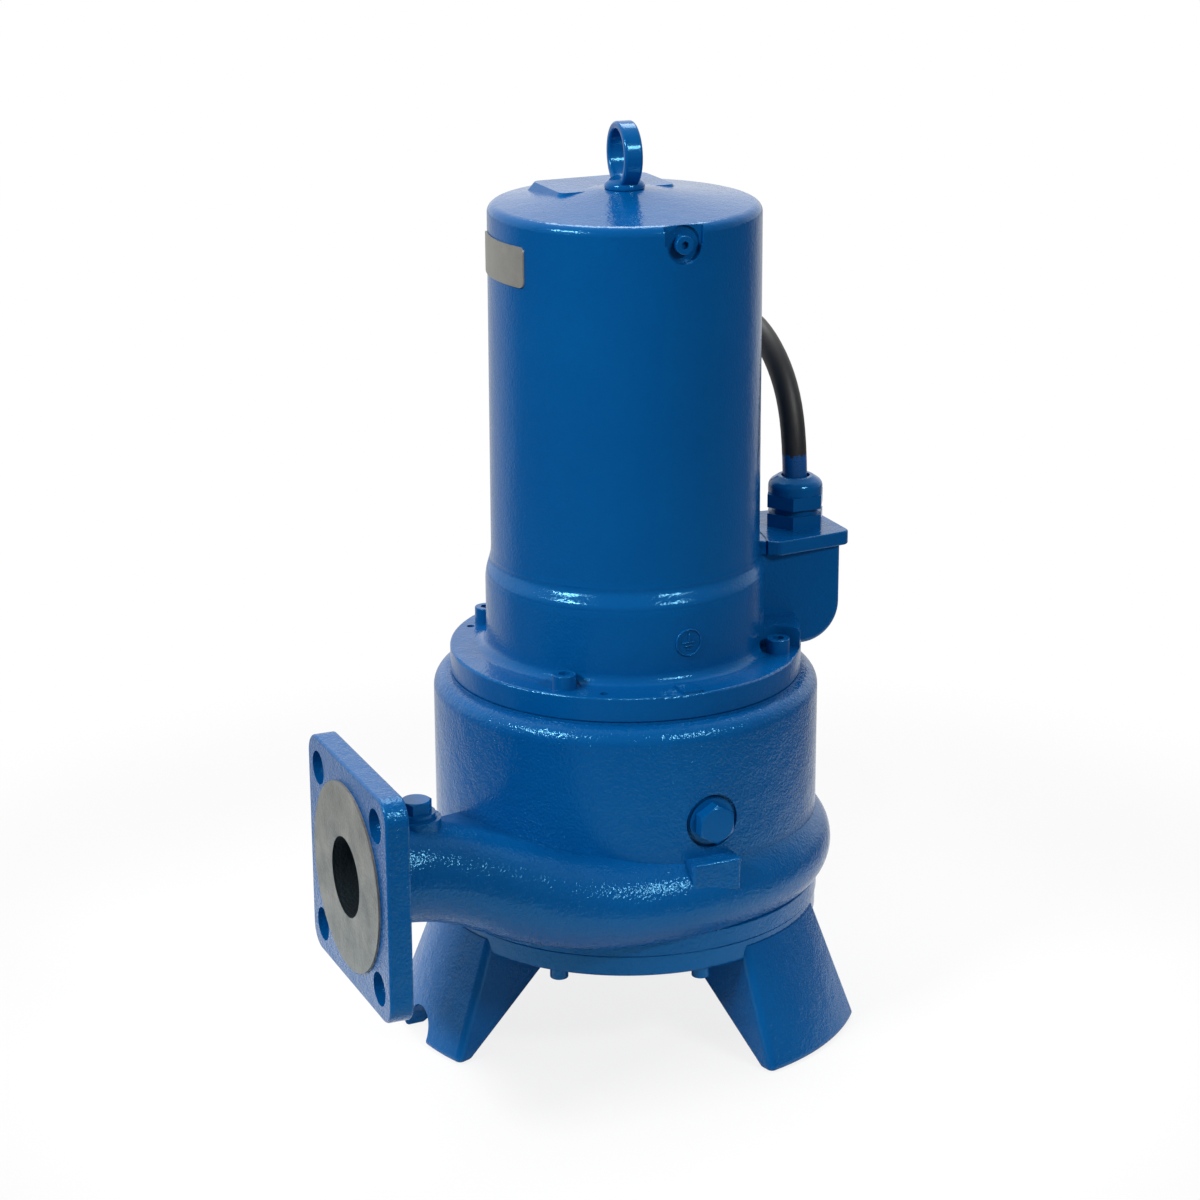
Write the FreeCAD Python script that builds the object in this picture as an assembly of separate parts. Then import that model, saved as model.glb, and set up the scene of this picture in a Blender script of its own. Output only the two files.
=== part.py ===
import FreeCAD, Part
import math
import os
from FreeCAD import Placement, Rotation, Vector

# Submersible sewage pump with a recessed vortex impeller, a spiral casing with a square discharge
# flange, an oil chamber, a dry motor and a three legged stand.
# Millimetres. The pump axis is Z, the feet stand on z = 0, +X points to the cable box, and the
# discharge leaves along -X beside the axis.

# Stand
foot_radius = 133.0
foot_width = 12.0
stand_plate_underside = 58.0
stand_plate_thickness = 12.0
stand_plate_radius = 107.0
leg_count = 3
leg_half_angle = 20.0
first_leg_angle = 182.7
leg_edge_rounding = 4.0
leg_sinking = 4.0
foot_rounding = 2.5
hub_flare = 6.0
stand_hub_radius = 46.0
stand_hub_underside = 46.0
stand_bore_radius = 32.0
foot_notch_radius = 14.5
foot_notch_height = 17.0
foot_notch_depth = 50.0
stand_screw_circle = 100.0
stand_screw_angles = (0.0, 90.0, 135.0, -135.0, -90.0)

# Suction cover
inlet_radius = 25.0
cover_radius = 89.7
cover_thickness = 8.0
cover_clearance = 0.3
cover_seal_section = 3.0
cover_shoulder = 3.0

# Spiral casing and oil chamber
casing_height = 129.4
body_radius = 106.5
body_shoulder_rounding = 8.8
base_flange_radius = 107.7
base_flange_thickness = 10.3
volute_centre_height = 100.0
volute_ring_radius = 93.0
volute_wall = 5.0
neck_end_wall = 6.0
tongue_angle = 220.0
outlet_angle = -90.0
spiral_start_reach = 104.5
spiral_end_reach = 118.0
spiral_section_count = 11
chamber_top = 121.0
recess_radius = 76.0
recess_wall = 7.0
recess_top = 143.0
partition_thickness = 7.0
oil_chamber_radius = 98.0
casing_neck_radius = 79.0
casing_lid_thickness = 14.4
land_height = 1.4

# Discharge neck and flange
discharge_offset = 90.0
discharge_height = 139.7
discharge_face_distance = 195.2
discharge_bore_radius = 21.0
bore_step = 0.5
neck_rise_start = 40.0
neck_rise_end = 178.0
neck_section_count = 5
flange_side = 121.0
flange_corner_radius = 12.0
flange_thickness = 12.7
flange_edge_rounding = 1.5
raised_face_radius = 50.0
raised_face_height = 1.5
flange_bolt_circle = 125.0
flange_hole_radius = 9.0
web_thickness = 12.0
web_inner_distance = 98.0
web_body_place = (104.0, 12.0)
web_body_height = 132.0
web_rooting = 38.0
lifting_pad_width = 28.0
lifting_pad_middle = 2.0
lifting_pad_bottom = 106.0
lifting_pad_top = 124.0
lifting_pad_reach = 116.0

# Plugs
oil_plug_middle = 3.5
oil_plug_height = 143.5
oil_plug_spotface_radius = 15.0
oil_plug_seat = 103.0
oil_plug_thread_radius = 10.2
oil_plug_collar_radius = 12.8
oil_plug_across_flats = 19.0
oil_plug_head_height = 7.0
oil_plug_thread_length = 9.0
oil_plug_boss_radius = 16.0
oil_plug_boss_length = 13.0
vent_plug_setback = 37.6
vent_plug_boss_radius = 13.0
vent_plug_boss_rise = 2.6
vent_plug_thread_radius = 6.4
vent_plug_collar_radius = 10.0
vent_plug_across_flats = 15.0
vent_plug_head_height = 6.5
vent_plug_thread_length = 7.0
plug_collar_thickness = 2.0
plug_washer_thickness = 1.0
thread_clearance = 0.15

# Motor housing
ring_flange_radius = 97.1
ring_flange_thickness = 13.8
ring_edge_rounding = 1.2
bell_radius = 77.0
bell_foot_rounding = 6.0
bell_height = 62.6
bell_shoulder = 8.0
bell_shoulder_rounding = 25.0
motor_wall_base_radius = 73.7
motor_rim_radius = 73.2
motor_rim_rounding = 5.0
motor_cap_rise = 7.6
eye_seat_radius = 12.0
cap_pad_rise = 6.5
cap_pad_low = (-34.5, 5.0)
cap_pad_high = (31.5, 45.0)
cap_pad_slope = 4.0
cap_pad_corner = 4.0
motor_bore_radius = 66.0
winding_room = 42.7
upper_cavity_radius = 62.5
cap_thickness = 5.7
upper_hub_radius = 31.0
upper_hub_lip = 2.2
housing_screw_circle = 86.0
housing_screw_angles = (38.0, 132.0, -136.0, -38.0)
screw_niche_radius = 9.0
hood_niche_radius = 10.5
hood_height = 11.0
hood_reach = 96.8
hood_rounding = 4.0
hood_box_angle = 14.0
hood_screw_angle = 34.0
jacking_hole_radius = 2.2
jacking_hole_circle = 90.0
jacking_hole_angles = (141.0, -121.0, -28.0)
ring_tab_angle = -92.0
ring_tab_width = 10.0
ring_tab_height = 1.5

# Cable box
box_reach = 121.0
box_half_width = 24.0
box_lift = 5.1
box_height = 63.5
box_corner_radius = 22.0
box_edge_rounding = 3.0
box_plate_thickness = 8.0
box_plate_inner = 80.0
box_plate_outer = 125.5
box_plate_inner_half = 31.0
box_plate_outer_half = 26.5
box_plate_corner = 5.0
box_passage_width = 24.0
box_floor_thickness = 21.5
box_roof_thickness = 12.0
gland_distance = 104.0

# Cable gland and cable
cable_diameter = 13.8
gland_thread_radius = 12.5
gland_hex_across_flats = 30.0
gland_hex_height = 7.5
gland_neck_height = 8.0
gland_nut_skirt_height = 7.5
gland_nut_radius = 15.2
gland_nut_height = 17.0
gland_cable_clearance = 0.3
gland_seal_wall = 3.6
gland_nut_gap = 3.5
gland_seal_step = 2.5
gland_lip_thickness = 3.2
gland_opening_radius = 8.0
lead_diameter = 3.0
lead_spacing = 2.6
lead_bend_radius = 6.0

# Motor test plug
test_plug_middle = 1.5
test_plug_depth = 9.9
test_flat_depth = 3.4
test_flat_width = 22.5
test_spotface_radius = 10.0
test_spotface_extra = 1.5
test_spotface_reach = 12.0

# Lifting eye
eye_outer_radius = 17.6
eye_hole_radius = 13.4
eye_half_width = 5.0
eye_rounding = 1.6
eye_turn = 173.6
eye_height = 18.0
eye_collar_radius = 10.8
eye_collar_height = 6.0
eye_collar_rounding = 3.0
eye_foot_radius = 6.5
eye_thread_radius = 4.0
eye_thread_length = 11.0

# Name plate
plate_half_angle = 21.1
plate_drop = 13.8
plate_height = 21.5
plate_thickness = 0.8
plate_corner = 3.0
plate_gap = 0.15

# Shaft and rotor
impeller_journal_radius = 9.0
seal_journal_radius = 11.0
rotor_seat_radius = 15.5
upper_shoulder_radius = 12.5
rotor_core_radius = 36.2
rotor_core_length = 110.0
air_gap = 0.6
end_ring_length = 10.0
end_ring_inner_radius = 24.0
fit_clearance = 0.05
seat_clearance = 0.3
end_gap = 0.1
end_ring_blade_count = 9

# Stator
stator_slot_count = 18
slot_half_width = 3.2
slot_depth = 13.0
slot_mouth_half_width = 1.3
slot_mouth_depth = 6.0
winding_overhang = 23.0
winding_inner_radius = 42.0
winding_outer_radius = 60.0
winding_rounding = 5.0

# Ball bearings: bore radius, outer radius, width, ball radius, ball count
lower_bearing = (12.5, 31.0, 17.0, 5.75, 7)
upper_bearing = (10.0, 23.5, 14.0, 3.97, 8)
lower_bearing_sinking = 0.2
upper_bearing_rise = 39.2
upper_bearing_depth = 23.5
ball_clearance = 0.3
race_gap_share = 0.6
cage_share = 0.4
cage_clearance = 0.15
cage_rim = 1.0

# Bearing bracket
bracket_thickness = 12.4
bracket_spigot_height = 6.6
bracket_hub_radius = 38.0
bracket_screw_circle = 71.5
bracket_screw_angles = (0.0, 90.0, 180.0, 270.0)
bracket_seal_section = 3.0
bracket_floor = 2.4
circlip_land = 3.0
circlip_thickness = 1.6
circlip_depth = 2.2
lip_seal_radius = 17.5
lip_seal_width = 7.0
preload_washer_thickness = 0.6
preload_washer_width = 5.5
preload_washer_height = 2.3

# Shaft seal
seal_seat_radius = 20.0
seal_seat_thickness = 4.5
seal_seat_bore = 12.0
seal_lip_radius = 15.5
seal_lip_thickness = 2.0
seal_cup_wall = 1.6
seal_collar_radius = 20.0
seal_ring_radius = 17.5
seal_ring_thickness = 5.0
seal_bellows_radius = 15.5
seal_bellows_length = 22.0
bellows_folds = 2
bellows_collar_thickness = 3.0
seal_spring_radius = 18.0
seal_spring_width = 2.6
seal_spring_thickness = 1.6
seal_spring_turns = 4

# Vortex impeller
impeller_radius = 68.0
impeller_plate_thickness = 5.0
impeller_hub_radius = 16.0
impeller_vane_height = 18.0
impeller_vane_thickness = 5.0
impeller_vane_count = 8
impeller_vane_lean = 28.0
impeller_back_gap = 2.5
impeller_hub_setback = 2.0
impeller_washer_gap = 1.5
impeller_washer_thickness = 2.0
impeller_washer_radius = 12.0
impeller_key_inside = 6.0
key_setback = 1.5
key_width = 5.0
key_height = 5.0
key_length = 16.0

# Screws: thread radius, head radius, head height, socket across flats, shank length
m8_screw = (4.0, 6.5, 8.0, 6.0, 26.0)
m6_screw = (3.0, 5.0, 6.0, 5.0, 20.0)
m6_bracket_screw = (3.0, 5.0, 6.0, 5.0, 20.0)
m6_test_screw = (3.0, 5.0, 4.8, 4.0, 5.6)
m8_impeller_screw = (4.0, 6.5, 5.0, 6.0, 18.0)

# Cable route from the gland to the coil, chosen by hand, and the coil that lies behind the pump
cable_route = (
    (104.0, 0.0, 272.0),
    (104.0, 0.0, 309.0),
    (105.0, 13.5, 345.0),
    (104.0, 43.0, 369.0),
    (102.0, 81.0, 375.0),
    (99.0, 117.0, 361.0),
    (97.0, 142.0, 331.0),
    (94.0, 151.0, 291.0),
    (89.0, 147.0, 236.0),
    (84.0, 133.0, 188.0),
    (80.0, 117.0, 146.0),
    (94.5, 121.5, 104.0),
    (121.0, 142.0, 79.0),
    (150.5, 168.2, 75.9),
)
coil_centre = (99.1, 229.5)
coil_turn_radius = 80.0
coil_columns = 3
coil_layers = 6
cable_tail_start = 150.0
cable_tail_sweep = 36.0
tail_seating = 0.6
core_radius = 1.6
core_length = 42.0
core_fan = 4.0
core_count = 4
ferrule_radius = 1.1
ferrule_length = 9.0
bend_share = 0.45

# How far a cutting body passes the face that it opens
cut_margin = 1.0

# Sizes worked out from the ones above
casing_bottom = stand_plate_underside + stand_plate_thickness
casing_top = casing_bottom + casing_height
ring_flange_top = casing_top + ring_flange_thickness
cover_top = casing_bottom + cover_thickness
chamber_radius = cover_radius - cover_shoulder
partition_top = recess_top + partition_thickness
lid_underside = casing_top - casing_lid_thickness
land_radius = ring_flange_radius + seat_clearance
vent_plug_distance = discharge_face_distance - vent_plug_setback
lower_bearing_bottom = casing_top - lower_bearing_sinking
lower_bearing_top = lower_bearing_bottom + lower_bearing[2]
bracket_top = lower_bearing_top + circlip_land
stator_bottom = bracket_top + winding_room + winding_overhang
stator_top = stator_bottom + rotor_core_length
stator_stop_height = stator_top + end_gap
upper_bearing_bottom = stator_stop_height + upper_bearing_rise
upper_bearing_top = upper_bearing_bottom + upper_bearing[2]
upper_hub_bottom = upper_bearing_bottom - upper_hub_lip
motor_rim_height = upper_bearing_bottom + upper_bearing_depth
upper_cavity_top = motor_rim_height - cap_thickness
cap_pad_height = motor_rim_height + cap_pad_rise
eye_seat_height = motor_rim_height + motor_cap_rise
test_plug_height = motor_rim_height - test_plug_depth
plate_top = motor_rim_height - plate_drop
plate_bottom = plate_top - plate_height
bell_top = casing_top + bell_height
box_underside = casing_top + box_lift
box_plate_top = box_underside + box_height
box_wall_top = box_plate_top - box_plate_thickness
box_passage_floor = box_underside + box_floor_thickness
box_passage_height = box_wall_top - box_roof_thickness - box_passage_floor
cable_radius = cable_diameter / 2
gland_bore_radius = cable_radius + gland_cable_clearance
gland_neck_radius = gland_thread_radius + 0.5
gland_seal_radius = gland_bore_radius + gland_seal_wall
gland_hex_top = box_plate_top + gland_hex_height
gland_neck_top = gland_hex_top + gland_neck_height
gland_nut_bottom = gland_hex_top + gland_nut_gap
gland_nut_top = gland_nut_bottom + gland_nut_height
gland_seal_bottom = gland_hex_top + gland_seal_step
bracket_bottom = casing_top - bracket_thickness
bracket_radius = casing_neck_radius - seat_clearance
bracket_spigot_radius = motor_bore_radius - seat_clearance
lip_seal_bottom = bracket_bottom + bracket_floor
hub_bore_top = upper_bearing_top + preload_washer_height
stator_inner_radius = rotor_core_radius + air_gap
impeller_top = recess_top - impeller_back_gap
impeller_plate_bottom = impeller_top - impeller_plate_thickness
vane_bottom = impeller_plate_bottom - impeller_vane_height
hub_bottom = vane_bottom + impeller_hub_setback
shaft_bottom = hub_bottom + impeller_washer_gap
cup_bottom = recess_top + seal_lip_thickness
seat_bottom = cup_bottom + seal_cup_wall + end_gap
seat_top = seat_bottom + seal_seat_thickness
seal_cup_radius = seal_seat_radius + seal_cup_wall
ring_top = seat_top + end_gap + seal_ring_thickness
bellows_top = ring_top + seal_bellows_length
coil_half_width = coil_columns * cable_radius
coil_height = coil_layers * cable_diameter
full_turn = 360.0
up = Vector(0, 0, 1)
origin = Vector(0, 0, 0)


def polar(radius, angle, height):
    turn = math.radians(angle)
    return Vector(radius * math.cos(turn), radius * math.sin(turn), height)


# A closed outline of straight runs whose corners are rounded where a third number gives a radius
def outline(corners, place):
    points = [Vector(corner[0], corner[1], 0) for corner in corners]
    starts = []
    ends = []
    middles = []
    for index, here in enumerate(points):
        radius = corners[index][2] if len(corners[index]) > 2 else 0.0
        before = (points[index - 1] - here).normalize()
        after = (points[(index + 1) % len(points)] - here).normalize()
        half = before.getAngle(after) / 2
        inward = before + after
        reach = radius / math.tan(half)
        starts.append(here + before * reach)
        ends.append(here + after * reach)
        if radius > 0:
            middles.append(here + inward.normalize() * (radius / math.sin(half) - radius))
        else:
            middles.append(None)
    edges = []
    for index in range(len(points)):
        end = place(ends[index].x, ends[index].y)
        if middles[index] is not None:
            start = place(starts[index].x, starts[index].y)
            middle = place(middles[index].x, middles[index].y)
            edges.append(Part.Arc(start, middle, end).toShape())
        following = starts[(index + 1) % len(points)]
        following = place(following.x, following.y)
        if end.distanceToPoint(following) > 1e-6:
            edges.append(Part.LineSegment(end, following).toShape())
    return Part.Wire(edges)


# A body turned about the pump axis from corners given as radius, height and rounding
def turned(corners, sweep=full_turn):
    face = Part.Face(outline(corners, lambda radius, height: Vector(radius, 0, height)))
    return face.revolve(origin, up, sweep)


# A flat body raised from corners given as x, y and rounding
def raised(corners, bottom, height):
    face = Part.Face(outline(corners, lambda x, y: Vector(x, y, bottom)))
    return face.extrude(up * height)


def rod(radius, bottom, top, x=0.0, y=0.0):
    return Part.makeCylinder(radius, top - bottom, Vector(x, y, bottom))


# A rod or hole at a polar place about the pump axis
def rod_at(radius, bottom, top, circle, angle):
    return Part.makeCylinder(radius, top - bottom, polar(circle, angle, bottom))


def block(low, high):
    return Part.makeBox(high[0] - low[0], high[1] - low[1], high[2] - low[2], Vector(*low))


def ring(inner, outer, bottom, top, rounding=0.0):
    return turned(
        (
            (inner, bottom, rounding),
            (outer, bottom, rounding),
            (outer, top, rounding),
            (inner, top, rounding),
        )
    )


# A hexagon prism on the given height, with flats the given distance apart
def hexagon(across_flats, bottom, height):
    corners = []
    for index in range(6):
        spot = polar(across_flats / math.sqrt(3), index * 60.0, 0)
        corners.append((spot.x, spot.y))
    return raised(corners, bottom, height)


def moved(shape, place):
    copy = shape.copy()
    copy.translate(Vector(*place))
    return copy


def spun(shape, angle):
    copy = shape.copy()
    copy.rotate(origin, up, angle)
    return copy


def overturned(shape):
    copy = shape.copy()
    copy.rotate(origin, Vector(1, 0, 0), 180)
    return copy


# Lays a piece that was made pointing up so that it points along a level direction
def laid(shape, angle, place):
    copy = shape.copy()
    copy.rotate(origin, Vector(0, 1, 0), 90)
    copy.rotate(origin, up, angle)
    copy.translate(Vector(*place))
    return copy


def around(shape, circle, angles):
    return Part.makeCompound([moved(shape, polar(circle, angle, 0)) for angle in angles])


# Rounds those edges of a body that the test picks
def softened(shape, radius, picks):
    return shape.makeFillet(radius, [edge for edge in shape.Edges if picks(edge)])


# A round bar along a wire that starts at a point in a direction
def bar_along(wire, radius, start, direction):
    section = Part.Wire(Part.Circle(start, direction, radius).toShape())
    return wire.makePipeShell([section], True, True)


# Straight runs joined by tangent arcs. A bend takes the radius given, or else all that its runs allow
def bent_path(points, bend_radius=None):
    edges = []
    radii = []
    last = points[0]
    for index in range(1, len(points) - 1):
        here = points[index]
        before = points[index - 1] - here
        after = points[index + 1] - here
        half_turn = (math.pi - before.getAngle(after)) / 2
        shorter = min(before.Length, after.Length)
        radius = bend_radius or bend_share * shorter / math.tan(half_turn)
        reach = radius * math.tan(half_turn)
        before.normalize()
        after.normalize()
        arc_start = here + before * reach
        arc_end = here + after * reach
        inward = (before + after).normalize()
        arc_middle = here + inward * (radius / math.cos(half_turn) - radius)
        edges.append(Part.LineSegment(last, arc_start).toShape())
        edges.append(Part.Arc(arc_start, arc_middle, arc_end).toShape())
        radii.append(radius)
        last = arc_end
    edges.append(Part.LineSegment(last, points[-1]).toShape())
    return Part.Wire(edges), radii


# Socket head cap screw whose head stands on z = 0
def cap_screw(size):
    thread, head_radius, head_height, socket, length = size
    head = turned(((0, 0), (head_radius, 0), (head_radius, head_height, 0.6), (0, head_height)))
    screw = head.fuse(rod(thread, -length, 0)).removeSplitter()
    return screw.cut(hexagon(socket, head_height * 0.45, head_height))


def write(name, shape):
    sound = shape.isValid() and all(solid.isClosed() for solid in shape.Solids)
    note = "" if sound else "not sound"
    print(name, len(shape.Solids), "solids", round(shape.Volume / 1000, 2), "cm3", note)
    shape.exportStep("parts/" + name + ".step")


# Stand: a plate with a hub for the suction cover and three flared legs
def leg():
    inner_foot = foot_radius - foot_width
    top = casing_bottom - leg_sinking
    slope = stand_hub_underside / (inner_foot - stand_hub_radius - hub_flare)
    inside = stand_hub_radius + 2.0
    cone = turned(
        (
            (inner_foot, 0),
            (foot_radius, 0),
            (stand_plate_radius + 0.7, top),
            (inside, top),
            (inside, (inner_foot - inside) * slope),
        )
    )
    far_corner = polar(foot_radius * 1.5, leg_half_angle, 0)
    corners = ((0, 0), (far_corner.x, -far_corner.y), (far_corner.x, far_corner.y))
    wedge = raised(corners, -cut_margin, casing_bottom)
    body = spun(cone, full_turn / 2).common(wedge)
    body = softened(body, leg_edge_rounding, lambda edge: is_flank_edge(edge, inside))
    return softened(body, foot_rounding, lambda edge: edge.BoundBox.ZMax < 0.01)


# The long edges where a leg's flanks meet its outer and inner faces
def is_flank_edge(edge, inside):
    box = edge.BoundBox
    distance = math.hypot(box.Center.x, box.Center.y)
    return box.ZLength > stand_hub_underside / 2 and distance > inside + hub_flare


# Arch through one foot, drawn across X and then turned to its leg
def foot_notch():
    springing = foot_notch_height - foot_notch_radius
    inner = foot_radius - foot_notch_depth
    arch = laid(rod(foot_notch_radius, inner, foot_radius + 2), 0, (0, 0, springing))
    below = block((inner, -foot_notch_radius, -1), (foot_radius + 2, foot_notch_radius, springing))
    return spun(arch.fuse(below), first_leg_angle)


def stand_ring():
    stand = turned(
        (
            (stand_bore_radius, stand_hub_underside, 2.0),
            (stand_hub_radius, stand_hub_underside, 3.0),
            (stand_hub_radius + hub_flare, stand_plate_underside, 5.0),
            (stand_plate_radius, stand_plate_underside, 2.0),
            (stand_plate_radius, casing_bottom, 0.8),
            (stand_bore_radius, casing_bottom),
        )
    )
    one_leg = leg()
    for index in range(leg_count):
        stand = stand.fuse(spun(one_leg, first_leg_angle + index * full_turn / leg_count))
    stand = stand.cut(foot_notch())
    for angle in stand_screw_angles:
        hole = rod_at(m6_screw[0] + seat_clearance, 0, casing_bottom + 1, stand_screw_circle, angle)
        stand = stand.cut(hole)
    return stand.removeSplitter()


# Suction cover: a wear plate whose collar is the inlet, with a groove for its sealing ring
def suction_cover():
    collar_radius = stand_bore_radius - cover_clearance
    groove_radius = cover_radius - cover_seal_section
    groove_bottom = casing_bottom + (cover_thickness - cover_seal_section) / 2
    groove_top = groove_bottom + cover_seal_section
    return turned(
        (
            (inlet_radius, stand_hub_underside, 1.5),
            (collar_radius, stand_hub_underside),
            (collar_radius, casing_bottom),
            (cover_radius, casing_bottom),
            (cover_radius, groove_bottom),
            (groove_radius, groove_bottom),
            (groove_radius, groove_top),
            (cover_radius, groove_top),
            (cover_radius, cover_top),
            (inlet_radius, cover_top),
        )
    )


# Sealing ring of nearly square section in a groove of the given floor radius and middle height
def square_ring(groove_radius, seat_radius, middle, section):
    half = section / 2 - end_gap
    return ring(groove_radius + end_gap, seat_radius - end_gap, middle - half, middle + half, 0.4)


# Spiral casing
def volute_reach(angle):
    share = (tongue_angle - angle) / (tongue_angle - outlet_angle)
    return spiral_start_reach + share * (spiral_end_reach - spiral_start_reach)


# How far along the rise of the neck a distance from the axis is, eased at both ends
def neck_share(distance):
    share = (distance - neck_rise_start) / (neck_rise_end - neck_rise_start)
    share = min(max(share, 0.0), 1.0)
    return share * share * (3 - 2 * share)


def neck_height(distance):
    return volute_centre_height + neck_share(distance) * (discharge_height - volute_centre_height)


def neck_radius(distance, start_wall, end_wall):
    start = spiral_end_reach - volute_ring_radius - volute_wall + start_wall
    share = min(distance / neck_rise_end, 1.0)
    return start + share * (discharge_bore_radius + end_wall - start)


# The outer crest of the neck
def neck_crest(distance):
    return neck_height(distance) + neck_radius(distance, volute_wall, neck_end_wall)


# A round section of the passage, standing across the flow
def flow_section(middle, along, outward, radius):
    section = Part.Wire(Part.Circle(origin, up, radius).toShape())
    section.Placement = Placement(middle, Rotation(outward, Vector(0, 0, 0), along, "ZXY"))
    return section


# The spiral and the neck as one passage, grown by a wall for its outside
def flow_passage(start_wall, end_wall, end_distance):
    sections = []
    for index in range(spiral_section_count):
        share = index / (spiral_section_count - 1)
        angle = tongue_angle + share * (outlet_angle - tongue_angle)
        radius = volute_reach(angle) - volute_ring_radius - volute_wall + start_wall
        middle = polar(volute_ring_radius, angle, volute_centre_height)
        sections.append(flow_section(middle, polar(1, angle - 90, 0), polar(1, angle, 0), radius))
    for index in range(neck_section_count):
        share = index / (neck_section_count - 1)
        distance = neck_rise_start + share * (end_distance - neck_rise_start)
        offset = volute_ring_radius + distance / end_distance * (discharge_offset - volute_ring_radius)
        rise = neck_height(distance + 1) - neck_height(distance - 1)
        middle = Vector(-distance, -offset, neck_height(distance))
        radius = neck_radius(distance, start_wall, end_wall)
        sections.append(flow_section(middle, Vector(-2, 0, rise), Vector(0, -1, 0), radius))
    return Part.makeLoft(sections, True, False)


# Square discharge flange with its raised face, made lying down and then stood up across X
def discharge_flange():
    half = flange_side / 2
    signs = ((-1, -1), (1, -1), (1, 1), (-1, 1))
    corners = [(sx * half, sy * half, flange_corner_radius) for sx, sy in signs]
    plate = raised(corners, 0, flange_thickness)
    plate = softened(plate, flange_edge_rounding, lambda edge: edge.BoundBox.ZLength < 0.01)
    flange = plate.fuse(rod(raised_face_radius, 1, flange_thickness + raised_face_height))
    spacing = flange_bolt_circle / 2 * math.cos(math.radians(45))
    for sx, sy in signs:
        flange = flange.cut(rod(flange_hole_radius, -1, flange_thickness + 1, sx * spacing, sy * spacing))
    back = discharge_face_distance - flange_thickness
    return laid(flange, 180, (-back, -discharge_offset, discharge_height))


# Sloping web that fills the crotch between the neck and the body
def neck_web():
    crest_outer = Vector(-vent_plug_distance, -discharge_offset, neck_crest(vent_plug_distance) - 1)
    crest_inner = Vector(-web_inner_distance, -discharge_offset, neck_crest(web_inner_distance))
    body_corner = Vector(-web_body_place[0], -web_body_place[1], web_body_height)
    across = (crest_outer - crest_inner).cross(body_corner - crest_inner)

    def on_plane(x, y):
        drop = across.x * (x - crest_inner.x) + across.y * (y - crest_inner.y)
        return Vector(x, y, crest_inner.z - drop / across.z)

    inner = web_inner_distance - web_rooting
    places = (
        (crest_outer.x, crest_outer.y),
        (-inner, crest_outer.y),
        (-inner, body_corner.y),
        (body_corner.x, body_corner.y),
    )
    face = Part.Face(Part.makePolygon([on_plane(x, y) for x, y in places + places[:1]]))
    return face.extrude(up * -web_thickness)


# The solid outside of the casing, before anything is hollowed out
def casing_outside():
    shoulder = casing_top - land_height
    body = turned(
        (
            (0, casing_bottom),
            (base_flange_radius, casing_bottom, 0.8),
            (base_flange_radius, casing_bottom + base_flange_thickness, 0.5),
            (body_radius, casing_bottom + base_flange_thickness),
            (body_radius, shoulder, body_shoulder_rounding),
            (land_radius, shoulder),
            (land_radius, casing_top),
            (0, casing_top),
        )
    )
    neck_end = discharge_face_distance - flange_thickness / 2
    passage = flow_passage(volute_wall, neck_end_wall, neck_end)
    pad = block(
        (lifting_pad_middle - lifting_pad_width / 2, -lifting_pad_reach, lifting_pad_bottom),
        (lifting_pad_middle + lifting_pad_width / 2, -body_radius + volute_wall, lifting_pad_top),
    )
    pad = softened(pad, 1.5, lambda edge: edge.BoundBox.YMax < -lifting_pad_reach + 0.01)
    vent_boss = rod(
        vent_plug_boss_radius,
        neck_height(vent_plug_distance) + discharge_bore_radius + 2,
        neck_crest(vent_plug_distance) + vent_plug_boss_rise,
        -vent_plug_distance,
        -discharge_offset,
    )
    return body.fuse([passage, neck_web(), pad, vent_boss, discharge_flange()])


# The chamber, the recess behind the impeller, the seal's seat and the oil chamber, in one turned void
def casing_void():
    below = casing_bottom - 1
    return turned(
        (
            (0, below),
            (cover_radius + cover_clearance, below),
            (cover_radius + cover_clearance, cover_top),
            (chamber_radius, cover_top),
            (chamber_radius, chamber_top),
            (recess_radius, chamber_top, 2.0),
            (recess_radius, recess_top, 6.0),
            (seal_lip_radius, recess_top),
            (seal_lip_radius, cup_bottom),
            (seal_cup_radius + end_gap, cup_bottom),
            (seal_cup_radius + end_gap, partition_top),
            (recess_radius + recess_wall, partition_top, 4.0),
            (recess_radius + recess_wall, chamber_top + recess_wall, 4.0),
            (oil_chamber_radius, chamber_top + recess_wall, 4.0),
            (oil_chamber_radius, lid_underside, 6.0),
            (casing_neck_radius, lid_underside),
            (casing_neck_radius, casing_top + 1),
            (0, casing_top + 1),
        )
    )


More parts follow.
